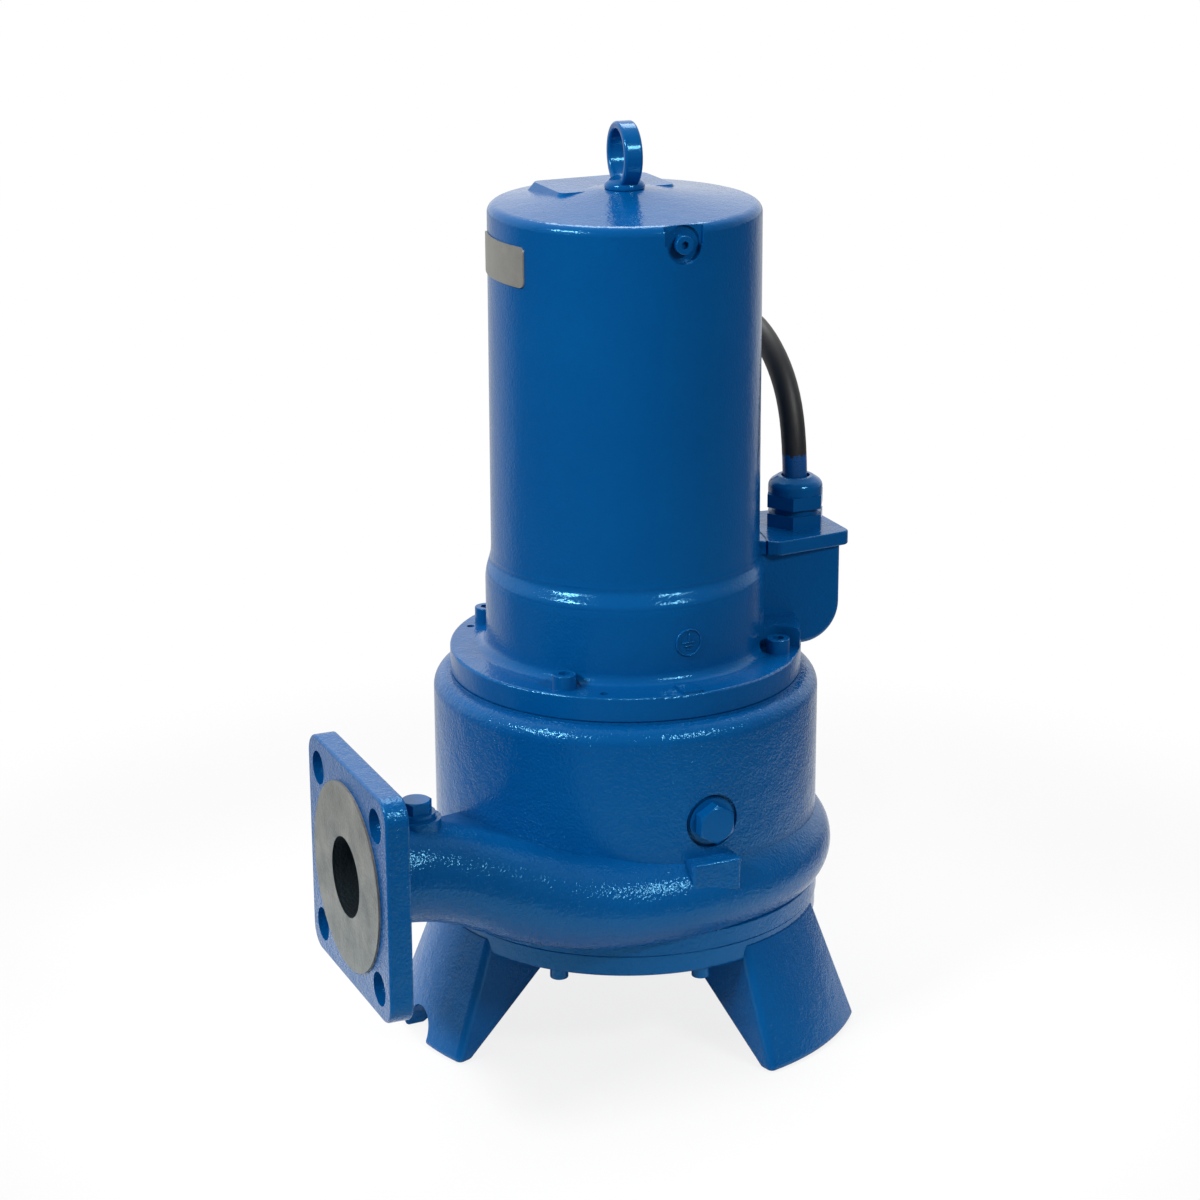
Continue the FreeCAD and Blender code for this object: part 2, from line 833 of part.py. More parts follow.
def pump_casing():
    casing = casing_outside().removeSplitter()
    casing = casing.cut(casing_void())
    passage = flow_passage(0, -bore_step, neck_rise_end)
    bore_start = (-neck_rise_end, -discharge_offset, discharge_height)
    bore_length = discharge_face_distance - neck_rise_end + flange_thickness
    bore = laid(rod(discharge_bore_radius, -cut_margin, bore_length), 180, bore_start)
    casing = casing.cut([passage, bore])
    plug_place = (oil_plug_middle, -oil_plug_seat, oil_plug_height)
    inner_boss = laid(rod(oil_plug_boss_radius, -oil_plug_boss_length, -cut_margin), -90, plug_place)
    casing = casing.fuse(inner_boss)
    spotface = rod(oil_plug_spotface_radius, 0, oil_plug_boss_length)
    casing = casing.cut(laid(spotface, -90, plug_place))
    hole = rod(oil_plug_thread_radius + thread_clearance, -oil_plug_boss_length - cut_margin, cut_margin)
    casing = casing.cut(laid(hole, -90, plug_place))
    casing = casing.cut(
        rod(
            vent_plug_thread_radius + thread_clearance,
            neck_height(vent_plug_distance),
            neck_crest(vent_plug_distance) + 2 * vent_plug_boss_radius,
            -vent_plug_distance,
            -discharge_offset,
        )
    )
    for angle in housing_screw_angles:
        low, high = lid_underside - cut_margin, casing_top + cut_margin
        hole = rod_at(m8_screw[0] + thread_clearance, low, high, housing_screw_circle, angle)
        casing = casing.cut(hole)
    low = casing_bottom - cut_margin
    high = stand_plate_underside + m6_screw[4] + cut_margin
    for angle in stand_screw_angles:
        hole = rod_at(m6_screw[0] + thread_clearance, low, high, stand_screw_circle, angle)
        casing = casing.cut(hole)
    return casing.removeSplitter()


# Screw plug with a collar and a hexagon, seated at z = 0 on its washer
def screw_plug(thread_radius, thread_length, collar_radius, across_flats, head_height):
    collar_top = plug_washer_thickness + plug_collar_thickness
    plug = rod(thread_radius, -thread_length, plug_washer_thickness)
    plug = plug.fuse(rod(collar_radius, plug_washer_thickness, collar_top))
    head = hexagon(across_flats, collar_top, head_height)
    crown = across_flats / math.sqrt(3)
    bevel = turned(
        (
            (0, collar_top),
            (crown, collar_top),
            (crown, collar_top + head_height - 1.0),
            (across_flats / 2 - 0.3, collar_top + head_height),
            (0, collar_top + head_height),
        )
    )
    return plug.fuse(head.common(bevel)).removeSplitter()


def plug_washer(thread_radius, collar_radius):
    return ring(thread_radius + seat_clearance, collar_radius + 0.6, 0, plug_washer_thickness)


# Motor housing: ring flange, bell, tube, domed end and cable box in one casting
def motor_outside():
    body = turned(
        (
            (0, casing_top),
            (ring_flange_radius, casing_top, ring_edge_rounding),
            (ring_flange_radius, ring_flange_top, ring_edge_rounding),
            (bell_radius, ring_flange_top, bell_foot_rounding),
            (bell_radius, bell_top - bell_shoulder, bell_shoulder_rounding),
            (motor_wall_base_radius, bell_top + bell_shoulder / 2, bell_shoulder_rounding),
            (motor_rim_radius, motor_rim_height, motor_rim_rounding),
            (eye_seat_radius, eye_seat_height),
            (0, eye_seat_height),
        )
    )
    pieces = [cap_pad(), cable_box()]
    for angle in housing_screw_angles:
        if abs(angle) < 90:
            pieces.append(screw_hood(angle))
    tab_half = ring_tab_width / 2
    tab = block(
        (bell_radius + 6, -tab_half, ring_flange_top - 1),
        (ring_flange_radius - ring_edge_rounding, tab_half, ring_flange_top + ring_tab_height),
    )
    pieces.append(spun(tab, ring_tab_angle))
    return body.fuse(pieces)


# Raised flat on the domed end, with sloping sides
def cap_pad():
    x_low, y_low = cap_pad_low
    x_high, y_high = cap_pad_high
    slope = cap_pad_slope
    wires = []
    for height, grow in ((motor_rim_height, slope), (cap_pad_height, 0.0)):
        corners = (
            (x_low - grow, y_low - grow, cap_pad_corner),
            (x_high + grow, y_low - grow, cap_pad_corner),
            (x_high + grow, y_high + grow, cap_pad_corner),
            (x_low - grow, y_high + grow, cap_pad_corner),
        )
        wires.append(outline(corners, lambda x, y: Vector(x, y, height)))
    spotface = rod(eye_collar_radius + end_gap, eye_seat_height, eye_seat_height + cap_pad_rise)
    return Part.makeLoft(wires, True, True).cut(spotface)


# Block that fills the corner between a screw and the cable box
def screw_hood(angle):
    inner = bell_radius - hood_rounding
    hood = turned(
        (
            (inner, casing_top + 1),
            (hood_reach, casing_top + 1),
            (hood_reach, ring_flange_top + hood_height, hood_rounding),
            (inner, ring_flange_top + hood_height),
        ),
        hood_screw_angle - hood_box_angle,
    )
    if angle < 0:
        return spun(hood, -hood_screw_angle)
    return spun(hood, hood_box_angle)


# Cable box with a rounded belly and a flat top plate
def cable_box():
    start = motor_bore_radius + 4
    corners = (
        (start, box_underside),
        (box_reach, box_underside, box_corner_radius),
        (box_reach, box_wall_top + 1),
        (start, box_wall_top + 1),
    )
    face = Part.Face(outline(corners, lambda x, z: Vector(x, -box_half_width, z)))
    box = face.extrude(Vector(0, 2 * box_half_width, 0))
    box = softened(box, box_edge_rounding, is_box_edge)
    plate = raised(
        (
            (start, -box_half_width),
            (box_plate_inner, -box_plate_inner_half, box_plate_corner),
            (box_plate_outer, -box_plate_outer_half, box_plate_corner),
            (box_plate_outer, box_plate_outer_half, box_plate_corner),
            (box_plate_inner, box_plate_inner_half, box_plate_corner),
            (start, box_half_width),
        ),
        box_wall_top,
        box_plate_thickness,
    )
    plate = softened(plate, 1.0, lambda edge: edge.BoundBox.ZLength < 0.01)
    return box.fuse(plate)


# The side edges of the box, apart from those against the motor and under the plate
def is_box_edge(edge):
    box = edge.BoundBox
    return abs(abs(box.Center.y) - box_half_width) < 0.01 and box.XMin > motor_bore_radius + 4.01


def motor_void():
    return turned(
        (
            (0, casing_top - 1),
            (motor_bore_radius, casing_top - 1),
            (motor_bore_radius, stator_stop_height),
            (upper_cavity_radius, stator_stop_height),
            (upper_cavity_radius, upper_cavity_top, 4.0),
            (upper_hub_radius, upper_cavity_top),
            (upper_hub_radius, upper_hub_bottom, 2.0),
            (upper_bearing[1] + fit_clearance, upper_hub_bottom),
            (upper_bearing[1] + fit_clearance, hub_bore_top),
            (0, hub_bore_top),
        )
    )


# Flat pocket and round spotface near the rim for the test screw
def test_pocket():
    face = motor_rim_radius - test_flat_depth
    flat = block(
        (test_plug_middle - test_flat_width / 2, -motor_rim_radius - 5, test_plug_height),
        (test_plug_middle + test_flat_width / 2, -face, motor_rim_height + 10),
    )
    place = (test_plug_middle, -face + test_spotface_extra, test_plug_height)
    spotface = laid(rod(test_spotface_radius, 0, test_spotface_reach), -90, place)
    hole = laid(rod(m6_test_screw[0] + thread_clearance, -10, 1), -90, place)
    return [flat, spotface, hole]


def motor_housing():
    housing = motor_outside().removeSplitter()
    cuts = [motor_void()] + test_pocket()
    gland_hole = gland_thread_radius + thread_clearance
    cuts.append(rod(gland_hole, box_passage_floor, box_plate_top + 1, gland_distance, 0))
    cuts.append(
        block(
            (motor_bore_radius - 6, -box_passage_width / 2, box_passage_floor),
            (gland_distance, box_passage_width / 2, box_passage_floor + box_passage_height),
        )
    )
    low = eye_seat_height - eye_thread_length - cut_margin
    cuts.append(rod(eye_thread_radius + thread_clearance, low, eye_seat_height + eye_height))
    for angle in housing_screw_angles:
        niche = hood_niche_radius if abs(angle) < 90 else screw_niche_radius
        top = ring_flange_top + 2 * hood_height
        cuts.append(rod_at(niche, ring_flange_top, top, housing_screw_circle, angle))
        hole = m8_screw[0] + seat_clearance
        cuts.append(rod_at(hole, casing_top - 1, ring_flange_top + 1, housing_screw_circle, angle))
        if abs(angle) < 90:
            outer = ring_flange_radius + cut_margin
            slot = block((housing_screw_circle, -niche, ring_flange_top), (outer, niche, top))
            cuts.append(spun(slot, angle))
    for angle in jacking_hole_angles:
        low, high = casing_top - cut_margin, ring_flange_top + cut_margin
        cuts.append(rod_at(jacking_hole_radius, low, high, jacking_hole_circle, angle))
    for angle in bracket_screw_angles:
        depth = m6_bracket_screw[4] - bracket_thickness + 1
        hole = m6_bracket_screw[0] + thread_clearance
        cuts.append(rod_at(hole, casing_top - 1, casing_top + depth, bracket_screw_circle, angle))
    return housing.cut(cuts).removeSplitter()


# Bearing bracket: closes the motor, carries the lower bearing and holds the lip seal under it
def bearing_bracket():
    groove = bracket_radius - bracket_seal_section
    groove_low = bracket_bottom + (bracket_thickness - bracket_seal_section) / 2
    groove_high = groove_low + bracket_seal_section
    spigot_top = casing_top + bracket_spigot_height
    bearing_seat = lower_bearing[1] + fit_clearance
    clip_low = lower_bearing_top + end_gap
    clip_high = clip_low + circlip_thickness + end_gap
    seal_bore = lip_seal_radius + fit_clearance
    bracket = turned(
        (
            (lower_bearing[0] + 1.0, bracket_bottom),
            (bracket_radius, bracket_bottom, 1.0),
            (bracket_radius, groove_low),
            (groove, groove_low),
            (groove, groove_high),
            (bracket_radius, groove_high),
            (bracket_radius, casing_top),
            (bracket_spigot_radius, casing_top),
            (bracket_spigot_radius, spigot_top, 1.0),
            (bracket_hub_radius, spigot_top, 3.0),
            (bracket_hub_radius, bracket_top, 1.5),
            (bearing_seat, bracket_top),
            (bearing_seat, clip_high),
            (bearing_seat + circlip_depth, clip_high),
            (bearing_seat + circlip_depth, clip_low),
            (bearing_seat, clip_low),
            (bearing_seat, lower_bearing_bottom - end_gap),
            (seal_bore, lower_bearing_bottom - end_gap),
            (seal_bore, lip_seal_bottom - end_gap),
            (lower_bearing[0] + 1.0, lip_seal_bottom - end_gap),
        )
    )
    for angle in bracket_screw_angles:
        hole = m6_bracket_screw[0] + seat_clearance
        low, high = bracket_bottom - cut_margin, casing_top + cut_margin
        bracket = bracket.cut(rod_at(hole, low, high, bracket_screw_circle, angle))
    return bracket


# Ball bearings: rings with a groove, the balls, and a cage between them
def bearing_ring(size, bottom, inner_side):
    bore, outside, width, ball, count = size
    pitch = (bore + outside) / 2
    gap = ball * race_gap_share
    if inner_side:
        body = ring(bore, pitch - gap, bottom, bottom + width, 0.8)
    else:
        body = ring(pitch + gap, outside, bottom, bottom + width, 0.8)
    groove = Part.makeTorus(pitch, ball + ball_clearance, Vector(0, 0, bottom + width / 2))
    return body.cut(groove)


def bearing_balls(size, bottom):
    bore, outside, width, ball, count = size
    pitch = (bore + outside) / 2
    middle = bottom + width / 2
    return Part.makeCompound(
        [Part.makeSphere(ball, polar(pitch, index * full_turn / count, middle)) for index in range(count)]
    )


def bearing_cage(size, bottom):
    bore, outside, width, ball, count = size
    pitch = (bore + outside) / 2
    half = ball * cage_share
    middle = bottom + width / 2
    reach = ball + cage_rim
    cage = ring(pitch - half, pitch + half, middle - reach, middle + reach)
    for index in range(count):
        angle = index * full_turn / count
        cage = cage.cut(laid(rod(ball + cage_clearance, 0, outside), angle, (0, 0, middle)))
    return cage


# Spring washer over the upper bearing, dished so that it bears on its rim
def preload_washer():
    outer = upper_bearing[1] - seat_clearance
    inner = outer - preload_washer_width
    low = upper_bearing_top + end_gap
    high = hub_bore_top - end_gap
    return turned(
        (
            (inner, high - preload_washer_thickness),
            (inner, high),
            (outer, low + preload_washer_thickness),
            (outer, low),
        )
    )


# Open ring clip with its gap at the back
def circlip(inner, outer, bottom, thickness):
    clip = ring(inner, outer, bottom, bottom + thickness)
    return clip.cut(block((-4, 0, bottom - 1), (4, outer + 1, bottom + thickness + 1)))


def lip_seal():
    shaft_side = lower_bearing[0] + fit_clearance
    top = lip_seal_bottom + lip_seal_width
    return turned(
        (
            (shaft_side + 0.8, lip_seal_bottom),
            (lip_seal_radius, lip_seal_bottom),
            (lip_seal_radius, top),
            (lip_seal_radius - 1.4, top),
            (lip_seal_radius - 1.4, lip_seal_bottom + 1.6, 0.8),
            (shaft_side + 1.8, lip_seal_bottom + 1.6, 0.8),
            (shaft_side + 1.8, top - 1.6),
            (shaft_side, top - 2.4),
        )
    )


# Shaft seal: a fixed seat in a rubber cup, a turning ring, rubber bellows and a spring
def seal_seat():
    return ring(seal_seat_bore, seal_seat_radius, seat_bottom, seat_top, 0.5)


def seal_seat_cup():
    inner = seal_lip_radius + 0.5
    return turned(
        (
            (inner, cup_bottom),
            (seal_cup_radius, cup_bottom, 0.6),
            (seal_cup_radius, partition_top),
            (seal_seat_radius + end_gap, partition_top),
            (seal_seat_radius + end_gap, cup_bottom + seal_cup_wall),
            (inner, cup_bottom + seal_cup_wall),
        )
    )


def seal_rotating_ring():
    bottom = seat_top + end_gap
    journal = seal_journal_radius + fit_clearance
    return turned(
        (
            (journal + 1.0, bottom),
            (seal_ring_radius, bottom),
            (seal_ring_radius, bottom + 2.0),
            (seal_collar_radius, bottom + 2.0),
            (seal_collar_radius, ring_top),
            (journal, ring_top),
            (journal, bottom + 2.0),
        )
    )


# Rubber bellows with two folds, ending in the collar that the spring pushes against
def seal_bellows():
    journal = seal_journal_radius + fit_clearance
    corners = [(journal, ring_top + end_gap)]
    fold = (seal_bellows_length - bellows_collar_thickness) / (2 * bellows_folds)
    for index in range(bellows_folds):
        low = ring_top + end_gap + 2 * index * fold
        corners.append((seal_bellows_radius, low, 0.8))
        corners.append((seal_bellows_radius, low + fold, 0.8))
        corners.append((seal_bellows_radius - 2.0, low + fold, 0.5))
        corners.append((seal_bellows_radius - 2.0, low + 2 * fold, 0.5))
    collar_bottom = bellows_top - bellows_collar_thickness
    corners[-1] = (seal_bellows_radius - 2.0, collar_bottom)
    corners.append((seal_collar_radius, collar_bottom))
    corners.append((seal_collar_radius, bellows_top, 0.6))
    corners.append((journal, bellows_top))
    return turned(corners)


# Coil spring of flat wire around the bellows
def seal_spring():
    low = ring_top + end_gap
    rise = bellows_top - bellows_collar_thickness - end_gap - seal_spring_thickness - low
    coil = Part.makeHelix(rise / seal_spring_turns, rise, seal_spring_radius)
    coil.translate(Vector(0, 0, low))
    inner = seal_spring_radius - seal_spring_width / 2
    outer = seal_spring_radius + seal_spring_width / 2
    high = low + seal_spring_thickness
    corners = [Vector(inner, 0, low), Vector(outer, 0, low), Vector(outer, 0, high), Vector(inner, 0, high)]
    section = Part.makePolygon(corners + corners[:1])
    return Part.Wire(coil.Edges).makePipeShell([section], True, True)


# Stepped shaft with a thread for the impeller screw and a keyway
def shaft():
    clip_low = lower_bearing_bottom - end_gap - circlip_thickness - end_gap
    clip_high = lower_bearing_bottom - end_gap
    journal = lower_bearing[0] - fit_clearance
    top_journal = upper_bearing[0] - fit_clearance
    body = turned(
        (
            (0, shaft_bottom),
            (impeller_journal_radius, shaft_bottom, 0.8),
            (impeller_journal_radius, impeller_top + end_gap),
            (seal_journal_radius, impeller_top + end_gap, 0.5),
            (seal_journal_radius, bracket_bottom - 2),
            (journal, bracket_bottom - 2, 0.5),
            (journal, clip_low),
            (journal - 1.0, clip_low),
            (journal - 1.0, clip_high),
            (journal, clip_high),
            (journal, lower_bearing_top + end_gap),
            (rotor_seat_radius, lower_bearing_top + end_gap, 0.5),
            (rotor_seat_radius, stator_top + end_ring_length + 12),
            (upper_shoulder_radius, stator_top + end_ring_length + 12),
            (upper_shoulder_radius, upper_bearing_bottom - end_gap),
            (top_journal, upper_bearing_bottom - end_gap),
            (top_journal, upper_bearing_top + 0.8, 0.8),
            (0, upper_bearing_top + 0.8),
        )
    )
    thread_top = hub_bottom - impeller_washer_gap + m8_impeller_screw[4] + 1
    body = body.cut(rod(m8_impeller_screw[0] + thread_clearance, shaft_bottom - 1, thread_top))
    return body.cut(key_shape(fit_clearance, impeller_key_inside))


# The key lies along the impeller journal on the +X side
def key_shape(grow, inside):
    half = key_width / 2 + grow
    return block(
        (inside - grow, -half, impeller_top - key_setback - key_length - grow),
        (inside + key_height + grow, half, impeller_top - key_setback + grow),
    )


# One impeller vane between two arcs that lag behind the turning direction
def impeller_vane():
    inner = impeller_hub_radius - 2
    outer = impeller_radius - 1
    stations = (inner, (inner + outer) / 2, outer)

    def edge_point(radius, side):
        share = (radius - inner) / (outer - inner)
        lag = impeller_vane_lean * share * share
        return polar(radius, lag + side * math.degrees(impeller_vane_thickness / 2 / radius), vane_bottom)

    left = [edge_point(radius, 1) for radius in stations]
    right = [edge_point(radius, -1) for radius in stations]
    wire = Part.Wire(
        [
            Part.Arc(*right).toShape(),
            Part.LineSegment(right[2], left[2]).toShape(),
            Part.Arc(*reversed(left)).toShape(),
            Part.LineSegment(left[0], right[0]).toShape(),
        ]
    )
    return Part.Face(wire).extrude(up * (impeller_vane_height + 1))


def impeller():
    vane = impeller_vane()
    wheel = turned(
        (
            (0, hub_bottom),
            (impeller_hub_radius - 3, hub_bottom, 1.0),
            (impeller_hub_radius, impeller_plate_bottom, 4.0),
            (impeller_radius, impeller_plate_bottom, 1.0),
            (impeller_radius, impeller_top, 1.0),
            (0, impeller_top),
        )
    )
    vanes = [spun(vane, index * full_turn / impeller_vane_count) for index in range(impeller_vane_count)]
    wheel = wheel.fuse(vanes)
    wheel = wheel.cut(rod(impeller_journal_radius + fit_clearance, vane_bottom - 1, impeller_top + 1))
    keyway = key_shape(fit_clearance, impeller_key_inside)
    open_end = block(
        (0, -key_width / 2 - fit_clearance, hub_bottom - 1),
        (impeller_key_inside + key_height + fit_clearance, key_width / 2 + fit_clearance, impeller_top + 1),
    )
    return wheel.cut([keyway, open_end]).removeSplitter()


def impeller_washer():
    bottom = hub_bottom - impeller_washer_thickness
    return ring(m8_impeller_screw[0] + seat_clearance, impeller_washer_radius, bottom, hub_bottom, 0.4)


# Rotor of the motor: the laminated core and its end rings with small fan blades
def rotor_core():
    return ring(rotor_seat_radius + fit_clearance, rotor_core_radius, stator_bottom, stator_top)


def rotor_end_rings():
    one = ring(end_ring_inner_radius, rotor_core_radius - 1.5, 0, end_ring_length * 0.6, 0.8)
    blades = []
    for index in range(end_ring_blade_count):
        blade = block(
            (end_ring_inner_radius + 2, -1.2, end_ring_length * 0.5),
            (rotor_core_radius - 3, 1.2, end_ring_length),
        )
        blades.append(spun(blade, index * full_turn / end_ring_blade_count))
    one = one.fuse(blades).removeSplitter()
    low = moved(overturned(one), (0, 0, stator_bottom))
    return Part.makeCompound([moved(one, (0, 0, stator_top)), low])


# Stator: the slotted core, and the winding that fills the slots and loops over both ends
def slot_outline(grow, mouth):
    start = stator_inner_radius - 1
    root = stator_inner_radius + slot_mouth_depth
    half = slot_half_width + grow
    end = root + slot_depth + grow
    if mouth:
        return (
            (start, -slot_mouth_half_width),
            (root, -slot_mouth_half_width),
            (root, -half),
            (end, -half, 2.0),
            (end, half, 2.0),
            (root, half),
            (root, slot_mouth_half_width),
            (start, slot_mouth_half_width),
        )
    return ((root - grow, -half), (end, -half, 2.0), (end, half, 2.0), (root - grow, half))


def stator_core():
    core = ring(stator_inner_radius, motor_bore_radius - seat_clearance, stator_bottom, stator_top)
    slot = raised(slot_outline(0.0, True), stator_bottom - 1, rotor_core_length + 2)
    slots = [spun(slot, index * full_turn / stator_slot_count) for index in range(stator_slot_count)]
    return core.cut(slots)


def stator_windings():
    inner, outer = winding_inner_radius, winding_outer_radius
    low = ring(inner, outer, stator_bottom - winding_overhang, stator_bottom - 1, winding_rounding)
    high = ring(inner, outer, stator_top + 1, stator_top + winding_overhang, winding_rounding)
    bar = raised(slot_outline(-seat_clearance, False), stator_bottom - 2, rotor_core_length + 4)
    bars = [spun(bar, index * full_turn / stator_slot_count) for index in range(stator_slot_count)]
    return low.fuse([high] + bars).removeSplitter()


# Eye bolt that stands in the XZ crosswise plane on the domed end
def eye_bolt():
    middle = eye_seat_height + eye_height
    eye = ring(eye_hole_radius, eye_outer_radius, -eye_half_width, eye_half_width, eye_rounding)
    eye = laid(eye, eye_turn, (0, 0, middle))
    foot = turned(
        (
            (0, eye_seat_height),
            (eye_collar_radius, eye_seat_height, 0.8),
            (eye_collar_radius, eye_seat_height + eye_collar_height / 2, eye_collar_rounding),
            (eye_foot_radius, eye_seat_height + eye_collar_height),
            (0, eye_seat_height + eye_collar_height),
        )
    )
    hole = rod(eye_hole_radius, -eye_collar_radius, eye_collar_radius)
    foot = foot.cut(laid(hole, eye_turn, (0, 0, middle)))
    thread = rod(eye_thread_radius, eye_seat_height - eye_thread_length, eye_seat_height)
    return eye.fuse([foot, thread]).removeSplitter()


# Cable gland: a body screwed into the box, a nut with a domed end and the rubber between them
def cable_gland_body():
    body = rod(gland_thread_radius, box_wall_top, box_plate_top)
    body = body.fuse([hexagon(gland_hex_across_flats, box_plate_top, gland_hex_height)])
    body = body.fuse([rod(gland_neck_radius, gland_hex_top, gland_neck_top)])
    body = body.cut(rod(gland_bore_radius, box_wall_top - 1, gland_neck_top + 1))
    body = body.cut(rod(gland_seal_radius + end_gap, gland_seal_bottom - end_gap, gland_neck_top + 1))
    return moved(body.removeSplitter(), (gland_distance, 0, 0))


def cable_gland_nut():
    skirt_top = gland_nut_bottom + gland_nut_skirt_height
    nut = hexagon(gland_hex_across_flats, gland_nut_bottom, gland_nut_skirt_height)
    dome = turned(
        (
            (0, skirt_top - 0.5),
            (gland_nut_radius, skirt_top - 0.5, 0.8),
            (gland_nut_radius, gland_nut_top - 3.5, 5.0),
            (gland_opening_radius + 2.0, gland_nut_top, 1.0),
            (0, gland_nut_top),
        )
    )
    hollow = turned(
        (
            (0, gland_nut_bottom - 1),
            (gland_neck_radius + thread_clearance, gland_nut_bottom - 1),
            (gland_neck_radius + thread_clearance, gland_neck_top + seat_clearance),
            (gland_seal_radius + seat_clearance, gland_neck_top + seat_clearance),
            (gland_seal_radius + seat_clearance, gland_nut_top - gland_lip_thickness),
            (gland_opening_radius, gland_nut_top - gland_lip_thickness),
            (gland_opening_radius, gland_nut_top + 1),
            (0, gland_nut_top + 1),
        )
    )
    return moved(nut.fuse(dome).cut(hollow).removeSplitter(), (gland_distance, 0, 0))


def cable_gland_seal():
    top = gland_nut_top - gland_lip_thickness - end_gap
    seal = ring(gland_bore_radius, gland_seal_radius, gland_seal_bottom, top, 0.6)
    return moved(seal, (gland_distance, 0, 0))


# Blank name plate that follows the motor's wall
def name_plate():
    middle = (plate_bottom + plate_top) / 2
    share = (motor_rim_height - middle) / (motor_rim_height - bell_top)
    wall = motor_rim_radius + share * (motor_wall_base_radius - motor_rim_radius) + plate_gap
    sheet = ring(wall, wall + plate_thickness, plate_bottom, plate_top)
    half = wall * math.sin(math.radians(plate_half_angle))
    corners = (
        (-half, plate_bottom, plate_corner),
        (half, plate_bottom, plate_corner),
        (half, plate_top, plate_corner),
        (-half, plate_top, plate_corner),
    )
    window = Part.Face(outline(corners, lambda y, z: Vector(0, y, z)))
    return sheet.common(window.extrude(Vector(-2 * wall, 0, 0)))


# Four leads from the cable's end through the box to the winding
def winding_leads():
    leads = []
    cable_start = cable_route[0][2]
    drop = box_passage_floor + box_passage_height / 2
    winding_end = stator_bottom - winding_overhang
    entry = (winding_inner_radius + winding_outer_radius) / 2 + lead_spacing
    for sx in (-1, 1):
        for sy in (-1, 1):
            x = gland_distance + sx * lead_spacing
            y = sy * lead_spacing
            level = drop - sx * lead_spacing
            points = [
                Vector(x, y, cable_start),
                Vector(x, y, level),
                Vector(entry - sx * lead_spacing, y, level),
                Vector(entry - sx * lead_spacing, y, winding_end),
            ]
            wire, radii = bent_path(points, lead_bend_radius)
            leads.append(bar_along(wire, lead_diameter / 2, points[0], Vector(0, 0, -1)))
    return Part.makeCompound(leads)


# Free length of the power cable between the gland and the coil
def power_cable():
    points = [Vector(*spot) for spot in cable_route]
    wire, radii = bent_path(points)
    cable = bar_along(wire, cable_radius, points[0], points[1] - points[0])
    print("cable bend radii", [round(radius) for radius in radii])
    filled = cable.Volume / (math.pi * cable_radius**2 * wire.Length)
    print("cable length", round(wire.Length), "volume against section times length", round(filled, 4))
    return cable


# The rest of the cable as one neat coil, of turns side by side and in layers
def cable_coil():
    inner = coil_turn_radius - coil_half_width
    outer = coil_turn_radius + coil_half_width
    turns = coil_columns * coil_layers
    print("coil holds", round(turns * 2 * math.pi * coil_turn_radius), "mm in", turns, "turns")
    return moved(ring(inner, outer, 0, coil_height, cable_radius * 0.9), coil_centre + (0,))


# The end of the cable on top of the coil, with its bare cores in ferrules
def cable_end_cores():
    height = coil_height + cable_radius - tail_seating
    spots = [
        polar(coil_turn_radius, cable_tail_start + share * cable_tail_sweep, height)
        for share in (0, 0.5, 1)
    ]
    arc = Part.Wire(Part.Arc(*spots).toShape())
    end_angle = cable_tail_start + cable_tail_sweep
    sheath = bar_along(arc, cable_radius, spots[0], polar(1, cable_tail_start + 90, 0))
    along = polar(1, end_angle + 90, 0)
    across = polar(1, end_angle, 0)
    pieces = [sheath]
    for index in range(core_count):
        quarter = math.radians(45 + index * full_turn / core_count)
        sideways = math.cos(quarter)
        start = spots[2] + across * (3.0 * sideways) + up * (3.0 * math.sin(quarter)) - along * 2
        fan = (index - (core_count - 1) / 2) * core_fan
        floor = coil_height + core_radius
        end = spots[2] + across * (sideways + fan) + along * (core_length + 2 * sideways)
        end.z = floor
        way = end - start
        pieces.append(Part.makeCylinder(core_radius, way.Length, start, way))
        pieces.append(Part.makeCylinder(ferrule_radius, ferrule_length, end - way.normalize(), way))
    body = pieces[0].fuse(pieces[1:]).removeSplitter()
    return moved(body, coil_centre + (0,))


os.makedirs("parts", exist_ok=True)

stand_groove_middle = casing_bottom + cover_thickness / 2
bracket_groove_middle = bracket_bottom + bracket_thickness / 2
stand_screw = moved(overturned(cap_screw(m6_screw)), (0, 0, stand_plate_underside))
bracket_screw = moved(overturned(cap_screw(m6_bracket_screw)), (0, 0, bracket_bottom))
housing_screw = moved(cap_screw(m8_screw), (0, 0, ring_flange_top))
impeller_screw_seat = hub_bottom - impeller_washer_thickness
oil_plug_place = (oil_plug_middle, -oil_plug_seat, oil_plug_height)
vent_boss_top = neck_crest(vent_plug_distance) + vent_plug_boss_rise
vent_plug_place = (-vent_plug_distance, -discharge_offset, vent_boss_top)
test_screw_place = (
    test_plug_middle,
    -motor_rim_radius + test_flat_depth + test_spotface_extra,
    test_plug_height,
)
oil_plug = screw_plug(
    oil_plug_thread_radius,
    oil_plug_thread_length,
    oil_plug_collar_radius,
    oil_plug_across_flats,
    oil_plug_head_height,
)
vent_plug = screw_plug(
    vent_plug_thread_radius,
    vent_plug_thread_length,
    vent_plug_collar_radius,
    vent_plug_across_flats,
    vent_plug_head_height,
)

